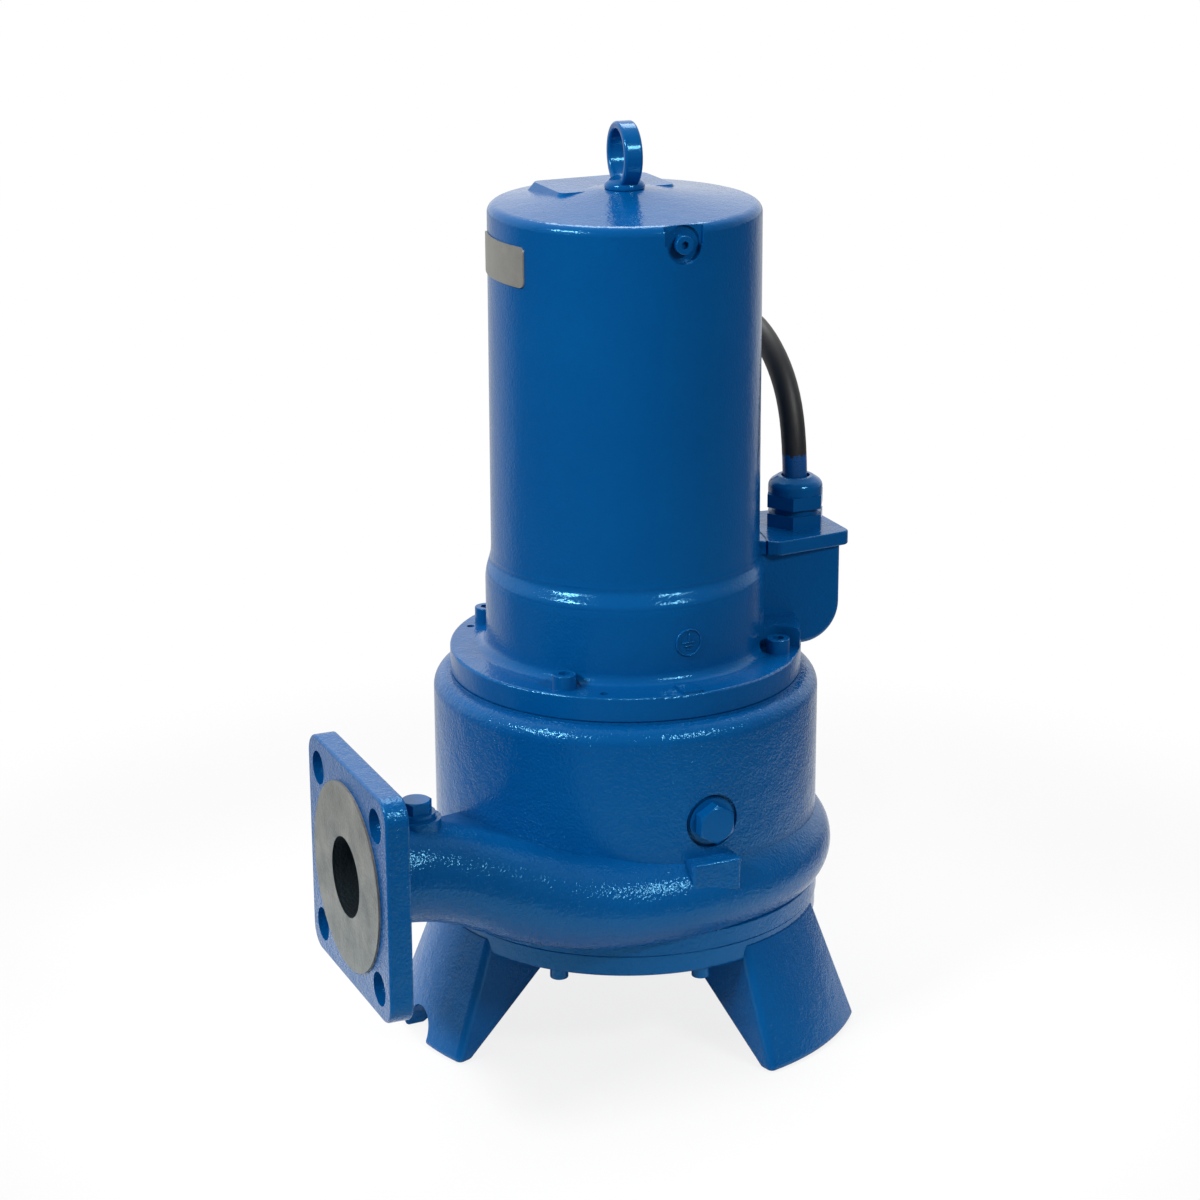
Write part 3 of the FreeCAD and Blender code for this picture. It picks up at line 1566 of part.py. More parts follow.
write("pump_casing", pump_casing())
write("stand_ring", stand_ring())
write("suction_cover", suction_cover())
write(
    "cover_seal_ring",
    square_ring(
        cover_radius - cover_seal_section,
        cover_radius + cover_clearance,
        stand_groove_middle,
        cover_seal_section,
    ),
)
write("stand_screws", around(stand_screw, stand_screw_circle, stand_screw_angles))
write("oil_plug", laid(oil_plug, -90, oil_plug_place))
oil_plug_ring = plug_washer(oil_plug_thread_radius, oil_plug_collar_radius)
write("oil_plug_washer", laid(oil_plug_ring, -90, oil_plug_place))
write("vent_plug", moved(vent_plug, vent_plug_place))
vent_plug_ring = plug_washer(vent_plug_thread_radius, vent_plug_collar_radius)
write("vent_plug_washer", moved(vent_plug_ring, vent_plug_place))
write("motor_housing", motor_housing())
write("housing_screws", around(housing_screw, housing_screw_circle, housing_screw_angles))
write(
    "housing_seal_ring",
    square_ring(
        bracket_radius - bracket_seal_section,
        casing_neck_radius,
        bracket_groove_middle,
        bracket_seal_section,
    ),
)
write("bearing_bracket", bearing_bracket())
write("bracket_screws", around(bracket_screw, bracket_screw_circle, bracket_screw_angles))
write("lower_bearing_outer_race", bearing_ring(lower_bearing, lower_bearing_bottom, False))
write("lower_bearing_inner_race", bearing_ring(lower_bearing, lower_bearing_bottom, True))
write("lower_bearing_balls", bearing_balls(lower_bearing, lower_bearing_bottom))
write("lower_bearing_cage", bearing_cage(lower_bearing, lower_bearing_bottom))
write("upper_bearing_outer_race", bearing_ring(upper_bearing, upper_bearing_bottom, False))
write("upper_bearing_inner_race", bearing_ring(upper_bearing, upper_bearing_bottom, True))
write("upper_bearing_balls", bearing_balls(upper_bearing, upper_bearing_bottom))
write("upper_bearing_cage", bearing_cage(upper_bearing, upper_bearing_bottom))
write("preload_washer", preload_washer())
write(
    "bearing_circlip",
    circlip(
        lower_bearing[1] - 3.5,
        lower_bearing[1] + circlip_depth - end_gap,
        lower_bearing_top + 1.5 * end_gap,
        circlip_thickness,
    ),
)
write(
    "shaft_circlip",
    circlip(
        lower_bearing[0] - 0.9,
        lower_bearing[0] + 3.4,
        lower_bearing_bottom - circlip_thickness - 1.5 * end_gap,
        circlip_thickness,
    ),
)
write("shaft_lip_seal", lip_seal())
write("seal_seat", seal_seat())
write("seal_seat_cup", seal_seat_cup())
write("seal_rotating_ring", seal_rotating_ring())
write("seal_bellows", seal_bellows())
write("seal_spring", seal_spring())
write("stator_core", stator_core())
write("stator_windings", stator_windings())
write("shaft", shaft())
write("rotor_core", rotor_core())
write("rotor_end_rings", rotor_end_rings())
write("impeller", impeller())
write("impeller_key", key_shape(0.0, impeller_key_inside))
write("impeller_washer", impeller_washer())
write("impeller_screw", moved(overturned(cap_screw(m8_impeller_screw)), (0, 0, impeller_screw_seat)))
write("motor_test_screw", laid(cap_screw(m6_test_screw), -90, test_screw_place))
write("eye_bolt", eye_bolt())
write("cable_gland_body", cable_gland_body())
write("cable_gland_nut", cable_gland_nut())
write("cable_gland_seal", cable_gland_seal())
write("name_plate", name_plate())
write("winding_leads", winding_leads())
write("power_cable", power_cable())
write("cable_coil", cable_coil())
write("cable_end_cores", cable_end_cores())
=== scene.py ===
import bmesh
import bpy
import math
from mathutils import Matrix, Vector


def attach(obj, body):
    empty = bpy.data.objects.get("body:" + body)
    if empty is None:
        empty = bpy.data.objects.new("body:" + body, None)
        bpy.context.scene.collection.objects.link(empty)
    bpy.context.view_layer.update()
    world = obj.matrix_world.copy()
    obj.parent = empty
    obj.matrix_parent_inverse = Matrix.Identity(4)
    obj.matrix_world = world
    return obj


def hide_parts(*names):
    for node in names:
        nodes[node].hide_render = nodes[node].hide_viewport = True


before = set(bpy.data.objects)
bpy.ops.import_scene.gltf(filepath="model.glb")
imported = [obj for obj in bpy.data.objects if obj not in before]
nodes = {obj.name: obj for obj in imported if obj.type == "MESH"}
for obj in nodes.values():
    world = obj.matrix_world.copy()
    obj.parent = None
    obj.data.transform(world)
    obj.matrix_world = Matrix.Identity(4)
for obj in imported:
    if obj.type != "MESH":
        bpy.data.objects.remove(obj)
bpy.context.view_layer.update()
print("frame loaded:", len(nodes), "nodes")

cameraPlace = {
    "at": (-0.6600, -1.4942, 0.7672),
    "looks": (0.3768, 0.8732, -0.3092),
    "roll": -0.25,  # degrees
    "lens": 93.375,
    "sensor": 36.0,
    "nearest": 0.05,
    "farthest": 60.0,
}


def addObject(name, data):
    thing = bpy.data.objects.new(name, data)
    bpy.context.scene.collection.objects.link(thing)
    return thing


def facing(direction):  # cameras and lamps look along their own -Z
    return Vector(direction).to_track_quat("-Z", "Y").to_matrix().to_4x4()


def makeCamera(place):
    data = bpy.data.cameras.new("camera")
    data.lens = place["lens"]
    data.sensor_width = place["sensor"]
    data.clip_start = place["nearest"]
    data.clip_end = place["farthest"]
    camera = addObject("camera", data)
    turn = Matrix.Rotation(math.radians(place["roll"]), 4, "Z")
    camera.matrix_world = Matrix.Translation(place["at"]) @ facing(place["looks"]) @ turn
    bpy.context.scene.camera = camera


makeCamera(cameraPlace)
print("camera placed")


class Wire:  # a socket that can stand in a sum
    def __init__(self, finish, socket):
        self.finish = finish
        self.socket = socket

    def __add__(self, other):
        return self.finish.maths("ADD", self, other)

    __radd__ = __add__

    def __mul__(self, other):
        return self.finish.maths("MULTIPLY", self, other)

    __rmul__ = __mul__

    def __sub__(self, other):
        return self.finish.maths("SUBTRACT", self, other)

    def __rsub__(self, other):
        return self.finish.maths("SUBTRACT", other, self)

    def __truediv__(self, other):
        return self.finish.maths("DIVIDE", self, other)

    def __rtruediv__(self, other):
        return self.finish.maths("DIVIDE", other, self)

    def __lt__(self, other):
        return self.finish.maths("LESS_THAN", self, other)

    def __gt__(self, other):
        return self.finish.maths("GREATER_THAN", self, other)


class Finish:  # one material and the nodes that make it
    def __init__(self, name):
        self.material = bpy.data.materials.new(name)
        self.clear(self.material)

    def clear(self, owner):
        owner.use_nodes = True
        self.tree = owner.node_tree
        self.tree.nodes.clear()

    def put(self, kind, settings=None, inputs=None, out=0):
        node = self.tree.nodes.new(kind)
        for name, value in (settings or {}).items():
            if name == "stops":
                self.setStops(node.color_ramp, value)
            else:
                setattr(node, name, value)
        for name, value in (inputs or {}).items():
            if isinstance(value, Wire):
                self.tree.links.new(value.socket, node.inputs[name])
            else:
                node.inputs[name].default_value = value
        return Wire(self, node.outputs[out]) if node.outputs else None

    def setStops(self, ramp, stops):
        while len(ramp.elements) < len(stops):
            ramp.elements.new(0.5)
        for element, (place, colour) in zip(ramp.elements, stops):
            element.position = place
            element.color = colour

    def place(self):  # object coordinates are the frame's metres
        return self.put("ShaderNodeTexCoord", out="Object")

    def axis(self, vector, letter):
        return self.put("ShaderNodeSeparateXYZ", {}, {0: vector}, letter)

    def vectors(self, operation, *values, out=0):
        settings = {"operation": operation}
        return self.put("ShaderNodeVectorMath", settings, dict(enumerate(values)), out)

    def shifted(self, vector, amount):
        return self.vectors("SUBTRACT", vector, amount)

    def stretched(self, vector, amount):
        return self.vectors("MULTIPLY", vector, amount)

    def along(self, vector, direction):
        return self.vectors("DOT_PRODUCT", vector, direction, out="Value")

    def length(self, vector):
        return self.vectors("LENGTH", vector, out="Value")

    def noise(self, vector, scale, detail=2.0, roughness=0.5):
        inputs = {"Vector": vector, "Scale": scale, "Detail": detail, "Roughness": roughness}
        return self.put("ShaderNodeTexNoise", {}, inputs)

    def ramp(self, value, stops):
        return self.put("ShaderNodeValToRGB", {"stops": stops}, {0: value})

    def step(self, value, low, high, curve="SMOOTHSTEP"):  # 0 below low, 1 above high
        settings = {"interpolation_type": curve}
        inputs = {"Value": value, "From Min": low, "From Max": high}
        return self.put("ShaderNodeMapRange", settings, inputs)

    def blend(self, share, first, second):  # 0, 6, 7 and 2 are the colour mix's own sockets
        inputs = {0: share, 6: first, 7: second}
        return self.put("ShaderNodeMix", {"data_type": "RGBA"}, inputs, 2)

    def maths(self, operation, *values):
        return self.put("ShaderNodeMath", {"operation": operation}, dict(enumerate(values)))

    def bump(self, height, distance, below=None):
        inputs = {"Height": height, "Distance": distance}
        if below is not None:
            inputs["Normal"] = below
        return self.put("ShaderNodeBump", {}, inputs)

    def ray(self, kind):  # 1 for rays of this kind
        return self.put("ShaderNodeLightPath", out=f"Is {kind} Ray")

    def surface(self, inputs):
        return self.close(self.put("ShaderNodeBsdfPrincipled", {}, inputs))

    def close(self, shader):
        self.put("ShaderNodeOutputMaterial", {}, {"Surface": shader})
        return self.material


def paintNodes(material, *names):
    for name in names:
        for place in nodes[name].material_slots:
            place.material = material


def addMesh(name, mesh, material):
    data = bpy.data.meshes.new(name)
    mesh.to_mesh(data)
    mesh.free()
    data.materials.append(material)
    return addObject(name, data)


def makePiece(name, mesh, material):
    piece = addMesh(name, mesh, material)
    for polygon in piece.data.polygons:
        polygon.use_smooth = True
    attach(piece, "root")


# each noise below is its scale, its detail and, where that isn't a half, its roughness
paint = {
    "deep": (0.0003, 0.0648, 0.2360, 1.0),
    "light": (0.0006, 0.0812, 0.2720, 1.0),
    "sheen": (0.24, 0.74, 1.0, 1.0),
    "roughness": 0.11,
    "mottleRoughness": 0.06,
    "mottle": (24.0, 4.0, 0.55),
    "grain": (640.0, 1.5),
    "swell": (90.0, 2.0),
    "pits": (900.0, 2.0),
    "pitEdge": (0.36, 0.24),
    # depths of grain, swell and pits on each kind of piece
    "casing": (0.00040, 0.00055, 0.00012),
    "motor": (0.00017, 0.00024, 0.00004),
    "leg": (0.00022, 0.00040, 0.00006),
    "small": (0.00006, 0.00010, 0.00002),
}

# the mains cable, wound into a coil behind the pump
cable = {
    "diameter": 0.0138,
    "length": 9.6,
    "exit": (0.104, 0.0, 0.296),
    "route": (
        (0.104, 0.000, 0.272),
        (0.104, 0.000, 0.309),
        (0.105, 0.0135, 0.345),
        (0.104, 0.043, 0.369),
        (0.102, 0.081, 0.375),
        (0.099, 0.117, 0.361),
        (0.097, 0.142, 0.331),
        (0.094, 0.151, 0.291),
        (0.089, 0.147, 0.236),
        (0.084, 0.133, 0.188),
        (0.080, 0.117, 0.146),
        (0.0945, 0.1215, 0.104),
        (0.121, 0.142, 0.079),
    ),
    "coilMiddle": (0.0991, 0.2295),
    "turnRadius": 0.080,
    "columns": 3,
    "layers": 6,
    # column and layer of each turn: column 0 is the inner one, layer 0 lies on the floor
    "winding": (
        (1, 5), (0, 5), (0, 4), (1, 4), (1, 3), (0, 3), (0, 2), (1, 2), (1, 1),
        (0, 1), (0, 0), (1, 0), (2, 0), (2, 1), (2, 2), (2, 3), (2, 4), (2, 5),
    ),
    "pointsPerTurn": 24,
    "coilStart": -50.0,  # degrees about the coil's middle, as the tail's angles are
    # angle, radius and height where the tail climbs onto the coil
    "tailRise": (
        (55.0, 0.0925, 0.0775), (83.0, 0.0880, 0.0815), (111.0, 0.0830, 0.0865),
        (138.0, 0.080, 0.0889),
    ),
    "tailOnTop": (150.0, 162.0, 174.0, 186.0),
    "tailHeight": 0.0891,
    "roundSteps": 6,
    "runSteps": 6,
}

sheath = {
    "black": (0.0080, 0.0088, 0.0108, 1.0),
    "dusty": (0.017, 0.018, 0.021, 1.0),
    "dust": (55.0, 4.0, 0.6),
    "dustEdge": (0.5, 0.75),
    "dustShare": 0.35,
    "fine": (2600.0, 3.0),
    "depth": 0.00006,
    "roughness": 0.42,
    "fineRoughness": 0.12,
    "dustRoughness": 0.1,
    "paintGloss": 0.2,
    "paintedUp": 0.3075,  # the housing's paint ends about here on the cable
    "paintReach": 0.014,  # and this far from the gland's middle
    "paintEdge": (420.0, 3.0),
    "edgeDepth": 0.006,
}


def aroundCoil(angle, radius, height):
    turn = math.radians(angle)
    x, y = cable["coilMiddle"]
    return (x + radius * math.cos(turn), y + radius * math.sin(turn), height)


def coilPoints():
    points = []
    count = cable["pointsPerTurn"]
    step = 360.0 / count
    nearest = 0.75  # the nearest point's share in this spline, which runs inside its points
    outward = 1.0 / (nearest + (1.0 - nearest) * math.cos(math.radians(step)))
    middleColumn = (cable["columns"] - 1) / 2
    angle = cable["coilStart"]
    for column, layer in cable["winding"]:
        radius = cable["turnRadius"] + (column - middleColumn) * cable["diameter"]
        height = (layer + 0.5) * cable["diameter"]
        for _ in range(count - 1):  # one short, so that the next turn has made room
            points.append(aroundCoil(angle, radius * outward, height))
            angle += step
    return points


def cableFinish():
    look = Finish("cableSheath")
    place = look.place()
    height = look.axis(place, "Z")
    fine = look.noise(place, *sheath["fine"])
    dust = look.step(look.noise(place, *sheath["dust"]), *sheath["dustEdge"])
    flat = look.stretched(place, (1.0, 1.0, 0.0))
    beside = look.length(look.shifted(flat, (*cable["exit"][:2], 0.0)))
    ragged = height + look.noise(place, *sheath["paintEdge"]) * sheath["edgeDepth"]
    below = ragged < sheath["paintedUp"] + sheath["edgeDepth"] / 2
    painted = below * (beside < sheath["paintReach"])
    rubber = look.blend(dust * sheath["dustShare"], sheath["black"], sheath["dusty"])
    roughness = sheath["roughness"] + fine * sheath["fineRoughness"]
    roughness = roughness + dust * sheath["dustRoughness"] - painted * sheath["paintGloss"]
    return look.surface({
        "Base Color": look.blend(painted, rubber, paint["deep"]), "Roughness": roughness,
        "Normal": look.bump(fine, sheath["depth"]),
    })


def makeCable():
    data = bpy.data.curves.new("cableRun", "CURVE")
    data.dimensions = "3D"
    data.bevel_depth = cable["diameter"] / 2
    data.bevel_resolution = cable["roundSteps"]
    data.resolution_u = cable["runSteps"]
    data.use_fill_caps = True
    points = list(cable["route"]) + coilPoints()
    points += [aroundCoil(*rise) for rise in cable["tailRise"]]
    for angle in cable["tailOnTop"]:
        points.append(aroundCoil(angle, cable["turnRadius"], cable["tailHeight"]))
    spline = data.splines.new("NURBS")
    spline.points.add(len(points) - 1)
    for point, place in zip(spline.points, points):
        point.co = (*place, 1.0)
    spline.order_u = 3
    spline.use_endpoint_u = True
    run = addObject("cableRun", data)
    data.materials.append(cableFinish())
    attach(run, "root")
    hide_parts("power_cable", "cable_coil")


makeCable()
print("cable made")

# the four cores at the cable's bare end
cores = {
    "sheathEnd": cable["tailOnTop"][-1],
    "sunk": 0.0020,  # the cores start this far inside the sheath
    "shown": 0.0002,  # and their colours start this far outside it
    "droop": 0.0047,
    "width": 0.0021,
    "ferruleWidth": 0.00135,
    "ferruleFrom": 0.036,
    "ferrule": (0.52, 0.52, 0.53, 1.0),
    # colour, across and up at the sheath, across at the tip, length
    "paths": (
        ((0.160, 0.055, 0.018, 1.0), 0.0021, 0.0021, -0.0053, 0.0454),
        ((0.012, 0.012, 0.013, 1.0), -0.0021, 0.0021, -0.0027, 0.0426),
        ((0.180, 0.180, 0.185, 1.0), -0.0021, -0.0021, 0.0013, 0.0426),
        ((0.100, 0.300, 0.035, 1.0), 0.0021, -0.0021, 0.0067, 0.0454),
    ),
    "fine": (900.0, 2.0),
    "depth": 0.00002,
    "roughness": 0.40,
    "fineRoughness": 0.1,
    "ferruleGloss": 0.12,
}


def coreFinish():
    look = Finish("coreInsulation")
    place = look.place()
    turn = math.radians(cores["sheathEnd"])
    end = aroundCoil(cores["sheathEnd"], cable["turnRadius"], cable["tailHeight"])
    fromEnd = look.shifted(place, end)
    across = look.along(fromEnd, (math.cos(turn), math.sin(turn), 0.0))
    onward = look.along(fromEnd, (-math.sin(turn), math.cos(turn), 0.0))
    rise = look.along(fromEnd, (0.0, 0.0, 1.0))
    colour, ferrules = sheath["black"], 0.0
    for insulation, side, height, tipSide, length in cores["paths"]:
        share = (onward + cores["sunk"]) / length
        sideways = across - share * (tipSide - side) - side
        lift = rise + share * (cores["droop"] + height) - height
        away = look.maths("SQRT", sideways * sideways + lift * lift)
        onCore = (away < cores["width"]) * (onward > cores["shown"])
        colour = look.blend(onCore, colour, insulation)
        onTip = (away < cores["ferruleWidth"]) * (onward > cores["ferruleFrom"])
        ferrules = onTip + ferrules
    fine = look.noise(place, *cores["fine"])
    roughness = cores["roughness"] + fine * cores["fineRoughness"]
    return look.surface({
        "Base Color": look.blend(ferrules, colour, cores["ferrule"]),
        "Roughness": roughness - ferrules * cores["ferruleGloss"],
        "Metallic": ferrules,
        "Normal": look.bump(fine, cores["depth"]),
    })


paintNodes(coreFinish(), "cable_end_cores")
print("cores coloured")


def paintFinish(kind, bare=None, form=None):
    look = Finish(f"{kind}Paint")
    place = look.place()
    mottle = look.noise(place, *paint["mottle"])
    colour = look.blend(mottle, paint["deep"], paint["light"])
    grain = look.noise(place, *paint["grain"])
    swell = look.noise(place, *paint["swell"])
    sunk = look.step(look.noise(place, *paint["pits"]), *paint["pitEdge"])
    roughness = paint["roughness"] + mottle * paint["mottleRoughness"]
    metallic = 0.0
    if bare:
        colour, roughness, metallic = bare(look, place, colour, roughness)
    grainDepth, swellDepth, pitDepth = paint[kind]
    normal = look.bump(swell, swellDepth, form(look, place) if form else None)
    normal = look.bump(grain, grainDepth, normal)
    normal = look.bump(1 - sunk, pitDepth, normal)
    return look.surface({
        "Base Color": colour, "Roughness": roughness, "Metallic": metallic, "Normal": normal,
        "Specular Tint": paint["sheen"],
    })


flangeFace = {
    "middle": (0.0, -0.090, 0.1397),
    "plane": -0.1954,
    "radius": 0.0503,
    "paintEdge": (160.0, 3.0),
    "edgeDepth": 0.0016,
    "stain": (46.0, 6.0, 0.65),
    "stainShare": 0.8,
    "turning": (260.0, 3.0),
    "turningStretch": (1.0, 1.0, 9.0),
    "turningShare": 0.25,
    "tones": (
        (0.30, (0.120, 0.107, 0.092, 1.0)),
        (0.50, (0.225, 0.200, 0.171, 1.0)),
        (0.74, (0.345, 0.304, 0.264, 1.0)),
    ),
    "roughness": 0.28,  # on top of the paint's, as the bore's is
    "metallic": 0.35,
    "boreRadius": 0.0213,
    "boreStart": -0.170,
    "boreColour": (0.012, 0.0125, 0.014, 1.0),
    "boreRoughness": 0.4,
}


def bareFlangeFace(look, place, colour, roughness):
    x = look.axis(place, "X")
    flat = look.stretched(look.shifted(place, flangeFace["middle"]), (0.0, 1.0, 1.0))
    radius = look.length(flat)
    edge = look.noise(place, *flangeFace["paintEdge"]) - 0.5
    ragged = radius + edge * flangeFace["edgeDepth"]
    face = (x < flangeFace["plane"]) * (ragged < flangeFace["radius"])
    bore = (radius < flangeFace["boreRadius"]) * (x < flangeFace["boreStart"])
    stain = look.noise(place, *flangeFace["stain"])
    turned = look.stretched(place, flangeFace["turningStretch"])
    turning = look.noise(turned, *flangeFace["turning"])
    tone = stain * flangeFace["stainShare"] + turning * flangeFace["turningShare"]
    colour = look.blend(face, colour, look.ramp(tone, flangeFace["tones"]))
    colour = look.blend(bore, colour, flangeFace["boreColour"])
    roughness = roughness + face * flangeFace["roughness"] + bore * flangeFace["boreRoughness"]
    return colour, roughness, face * flangeFace["metallic"]


# heights between which the bell's wall closes in to the tube's, and depths in metres
shoulder = {
    "straight": (0.2540, 0.2660),
    "rounded": (0.2530, 0.2662),
    "shallow": 0.0033,
    "deep": 0.0048,
    "reach": (0.0790, 0.0776),
}


def shoulderForm(look, place):  # the cast shoulder swells out and then turns in quickly
    z = look.axis(place, "Z")
    even = look.step(z, *shoulder["straight"], curve="LINEAR")
    quick = look.step(z, *shoulder["rounded"], curve="SMOOTHERSTEP")
    beside = look.length(look.stretched(place, (1.0, 1.0, 0.0)))
    height = even * shoulder["shallow"] - quick * shoulder["deep"]
    return look.bump(height * look.step(beside, *shoulder["reach"]), 1.0)


paintNodes(paintFinish("casing", bare=bareFlangeFace), "pump_casing")
paintNodes(paintFinish("motor", form=shoulderForm), "motor_housing")
paintNodes(paintFinish("leg"), "stand_ring", "suction_cover")
smallPaint = paintFinish("small")
paintNodes(
    smallPaint, "eye_bolt", "cable_gland_body", "cable_gland_nut", "oil_plug", "vent_plug",
    "oil_plug_washer", "vent_plug_washer", "housing_screws", "stand_screws", "motor_test_screw",
)
print("painted pieces done")

# metals, rubber and the like, with the nodes made of each
stocks = {
    "castIron": {
        "dark": (0.05, 0.05, 0.052, 1.0), "light": (0.13, 0.128, 0.125, 1.0),
        "roughness": 0.48, "scale": 520.0, "depth": 0.00018, "metallic": 0.7,
        "nodes": ("impeller", "bearing_bracket"),
    },
    "turnedSteel": {
        "dark": (0.36, 0.36, 0.37, 1.0), "light": (0.56, 0.56, 0.57, 1.0),
        "roughness": 0.24, "scale": 900.0, "depth": 0.00002, "stretch": (1.0, 1.0, 14.0),
        "nodes": ("shaft", "seal_spring", "impeller_screw", "impeller_washer", "impeller_key"),
    },
    "zincSteel": {
        "dark": (0.42, 0.43, 0.44, 1.0), "light": (0.62, 0.63, 0.63, 1.0),
        "roughness": 0.30, "scale": 700.0, "depth": 0.00003,
        "nodes": (
            "rotor_end_rings", "shaft_circlip", "bearing_circlip", "preload_washer",
            "bracket_screws",
        ),
    },
    "bearingSteel": {
        "dark": (0.55, 0.55, 0.56, 1.0), "light": (0.66, 0.66, 0.67, 1.0),
        "roughness": 0.10, "scale": 600.0, "depth": 0.00001,
        "nodes": (
            "lower_bearing_balls", "lower_bearing_inner_race", "lower_bearing_outer_race",
            "upper_bearing_balls", "upper_bearing_inner_race", "upper_bearing_outer_race",
        ),
    },
    "cageBrass": {
        "dark": (0.50, 0.30, 0.08, 1.0), "light": (0.68, 0.46, 0.16, 1.0),
        "roughness": 0.26, "scale": 500.0, "depth": 0.00002,
        "nodes": ("lower_bearing_cage", "upper_bearing_cage"),
    },
    "sealRubber": {
        "dark": (0.012, 0.012, 0.012, 1.0), "light": (0.028, 0.028, 0.028, 1.0),
        "roughness": 0.50, "scale": 1300.0, "depth": 0.00004, "metallic": 0.0,
        "nodes": (
            "seal_seat_cup", "seal_bellows", "shaft_lip_seal", "cover_seal_ring",
            "housing_seal_ring", "cable_gland_seal",
        ),
    },
    "sealCeramic": {
        "dark": (0.62, 0.60, 0.55, 1.0), "light": (0.74, 0.72, 0.67, 1.0),
        "roughness": 0.16, "scale": 300.0, "depth": 0.00001, "metallic": 0.0,
        "nodes": ("seal_seat", "seal_rotating_ring"),
    },
    "laminations": {
        "dark": (0.14, 0.14, 0.15, 1.0), "light": (0.34, 0.34, 0.36, 1.0),
        "roughness": 0.40, "scale": 300.0, "depth": 0.00010, "metallic": 0.9,
        "stretch": (0.2, 0.2, 8.0),
        "nodes": ("rotor_core", "stator_core"),
    },
    "windingCopper": {
        "dark": (0.36, 0.12, 0.03, 1.0), "light": (0.62, 0.25, 0.09, 1.0),
        "roughness": 0.26, "scale": 420.0, "depth": 0.00025, "metallic": 0.6,
        "stretch": (1.0, 1.0, 3.0),
        "nodes": ("stator_windings",),
    },
    "leadInsulation": {
        "dark": (0.20, 0.02, 0.015, 1.0), "light": (0.30, 0.035, 0.025, 1.0),
        "roughness": 0.40, "scale": 400.0, "depth": 0.00002, "metallic": 0.0,
        "nodes": ("winding_leads",),
    },
}
stockGrain = {
    "grain": (4.0, 0.6),  # detail and roughness, since each stock has its own scale
    "grainShare": 0.6,
    "grainRoughness": 0.16,
    "cloud": (30.0, 3.0),
    "cloudShare": 0.4,
}


def stockFinish(name, stock):
    look = Finish(name)
    place = look.stretched(look.place(), stock.get("stretch", (1.0, 1.0, 1.0)))
    grain = look.noise(place, stock["scale"], *stockGrain["grain"])
    cloud = look.noise(place, *stockGrain["cloud"])
    tone = grain * stockGrain["grainShare"] + cloud * stockGrain["cloudShare"]
    return look.surface({
        "Base Color": look.blend(tone, stock["dark"], stock["light"]),
        "Roughness": stock["roughness"] + grain * stockGrain["grainRoughness"],
        "Metallic": stock.get("metallic", 1.0),
        "Normal": look.bump(grain, stock["depth"]),
    })


for name, stock in stocks.items():
    paintNodes(stockFinish(name, stock), *stock["nodes"])
print("inner pieces done")

namePlate = {
    "dark": (0.150, 0.152, 0.142, 1.0),
    "light": (0.300, 0.298, 0.275, 1.0),
    "brush": (220.0, 3.0),
    "brushStretch": (1.0, 1.0, 30.0),
    "brushShare": 0.25,
    "cloud": (110.0, 4.0, 0.6),
    "cloudShare": 0.45,
    "speckle": (1500.0, 2.0),
    "speckleShare": 0.3,
    "speckleDepth": 0.00002,
    "roughness": 0.36,
    "brushRoughness": 0.15,
    "metallic": 0.30,
}


def plateFinish():
    look = Finish("plateAluminium")
    place = look.place()
    brush = look.noise(look.stretched(place, namePlate["brushStretch"]), *namePlate["brush"])
    cloud = look.noise(place, *namePlate["cloud"])
    speckle = look.noise(place, *namePlate["speckle"])
    tone = brush * namePlate["brushShare"] + cloud * namePlate["cloudShare"]
    tone = tone + speckle * namePlate["speckleShare"]
    return look.surface({
        "Base Color": look.blend(tone, namePlate["dark"], namePlate["light"]),
        "Roughness": namePlate["roughness"] + brush * namePlate["brushRoughness"],
        "Metallic": namePlate["metallic"],
        "Normal": look.bump(speckle, namePlate["speckleDepth"]),
    })


paintNodes(plateFinish(), "name_plate")
print("name plate done")

# the mark cast on the bell: a ring round the general sign for earth
earthMark = {
    "angle": -88.0,  # degrees about the pump's axis
    "height": 0.2350,
    "wall": 0.0770,
    "ringRadius": 0.0072,
    "ringSteps": 48,
    "ridgeWidth": 0.0010,
    "rise": 0.0010,
    # share of the half width, share of the rise
    "ridge": ((-1.0, -0.6), (-0.75, 0.55), (-0.35, 0.95), (0.35, 0.95), (0.75, 0.55), (1.0, -0.6)),
    # across and up at one end, then at the other
    "bars": (
        ((0.0, 0.0), (0.0, 0.0052)),
        ((-0.0042, 0.0), (0.0042, 0.0)),
        ((-0.0027, -0.0019), (0.0027, -0.0019)),
        ((-0.0012, -0.0038), (0.0012, -0.0038)),
    ),
    "barSteps": 4,
}


def onBell(across, upwards, rise):
    angle = math.radians(earthMark["angle"]) + across / earthMark["wall"]
    radius = earthMark["wall"] + rise
    height = earthMark["height"] + upwards
    return (radius * math.cos(angle), radius * math.sin(angle), height)


def raisedRun(mesh, centres, closed):  # a low rounded ridge along points on the wall
    rows = []
    count = len(centres)
    for index, (across, upwards) in enumerate(centres):
        ahead = centres[(index + 1) % count] if closed else centres[min(index + 1, count - 1)]
        behind = centres[index - 1] if closed else centres[max(index - 1, 0)]
        along = Vector((ahead[0] - behind[0], ahead[1] - behind[1])).normalized()
        side = Vector((-along.y, along.x)) * (earthMark["ridgeWidth"] / 2)
        row = []
        for share, lift in earthMark["ridge"]:
            shift = side * share
            spot = onBell(across + shift.x, upwards + shift.y, earthMark["rise"] * lift)
            row.append(mesh.verts.new(spot))
        rows.append(row)
    for index in range(count if closed else count - 1):
        first, second = rows[index], rows[(index + 1) % count]
        for corner in range(len(first) - 1):
            ends = (first[corner], first[corner + 1], second[corner + 1], second[corner])
            mesh.faces.new(ends)
    if not closed:
        mesh.faces.new(rows[0][::-1])
        mesh.faces.new(rows[-1])


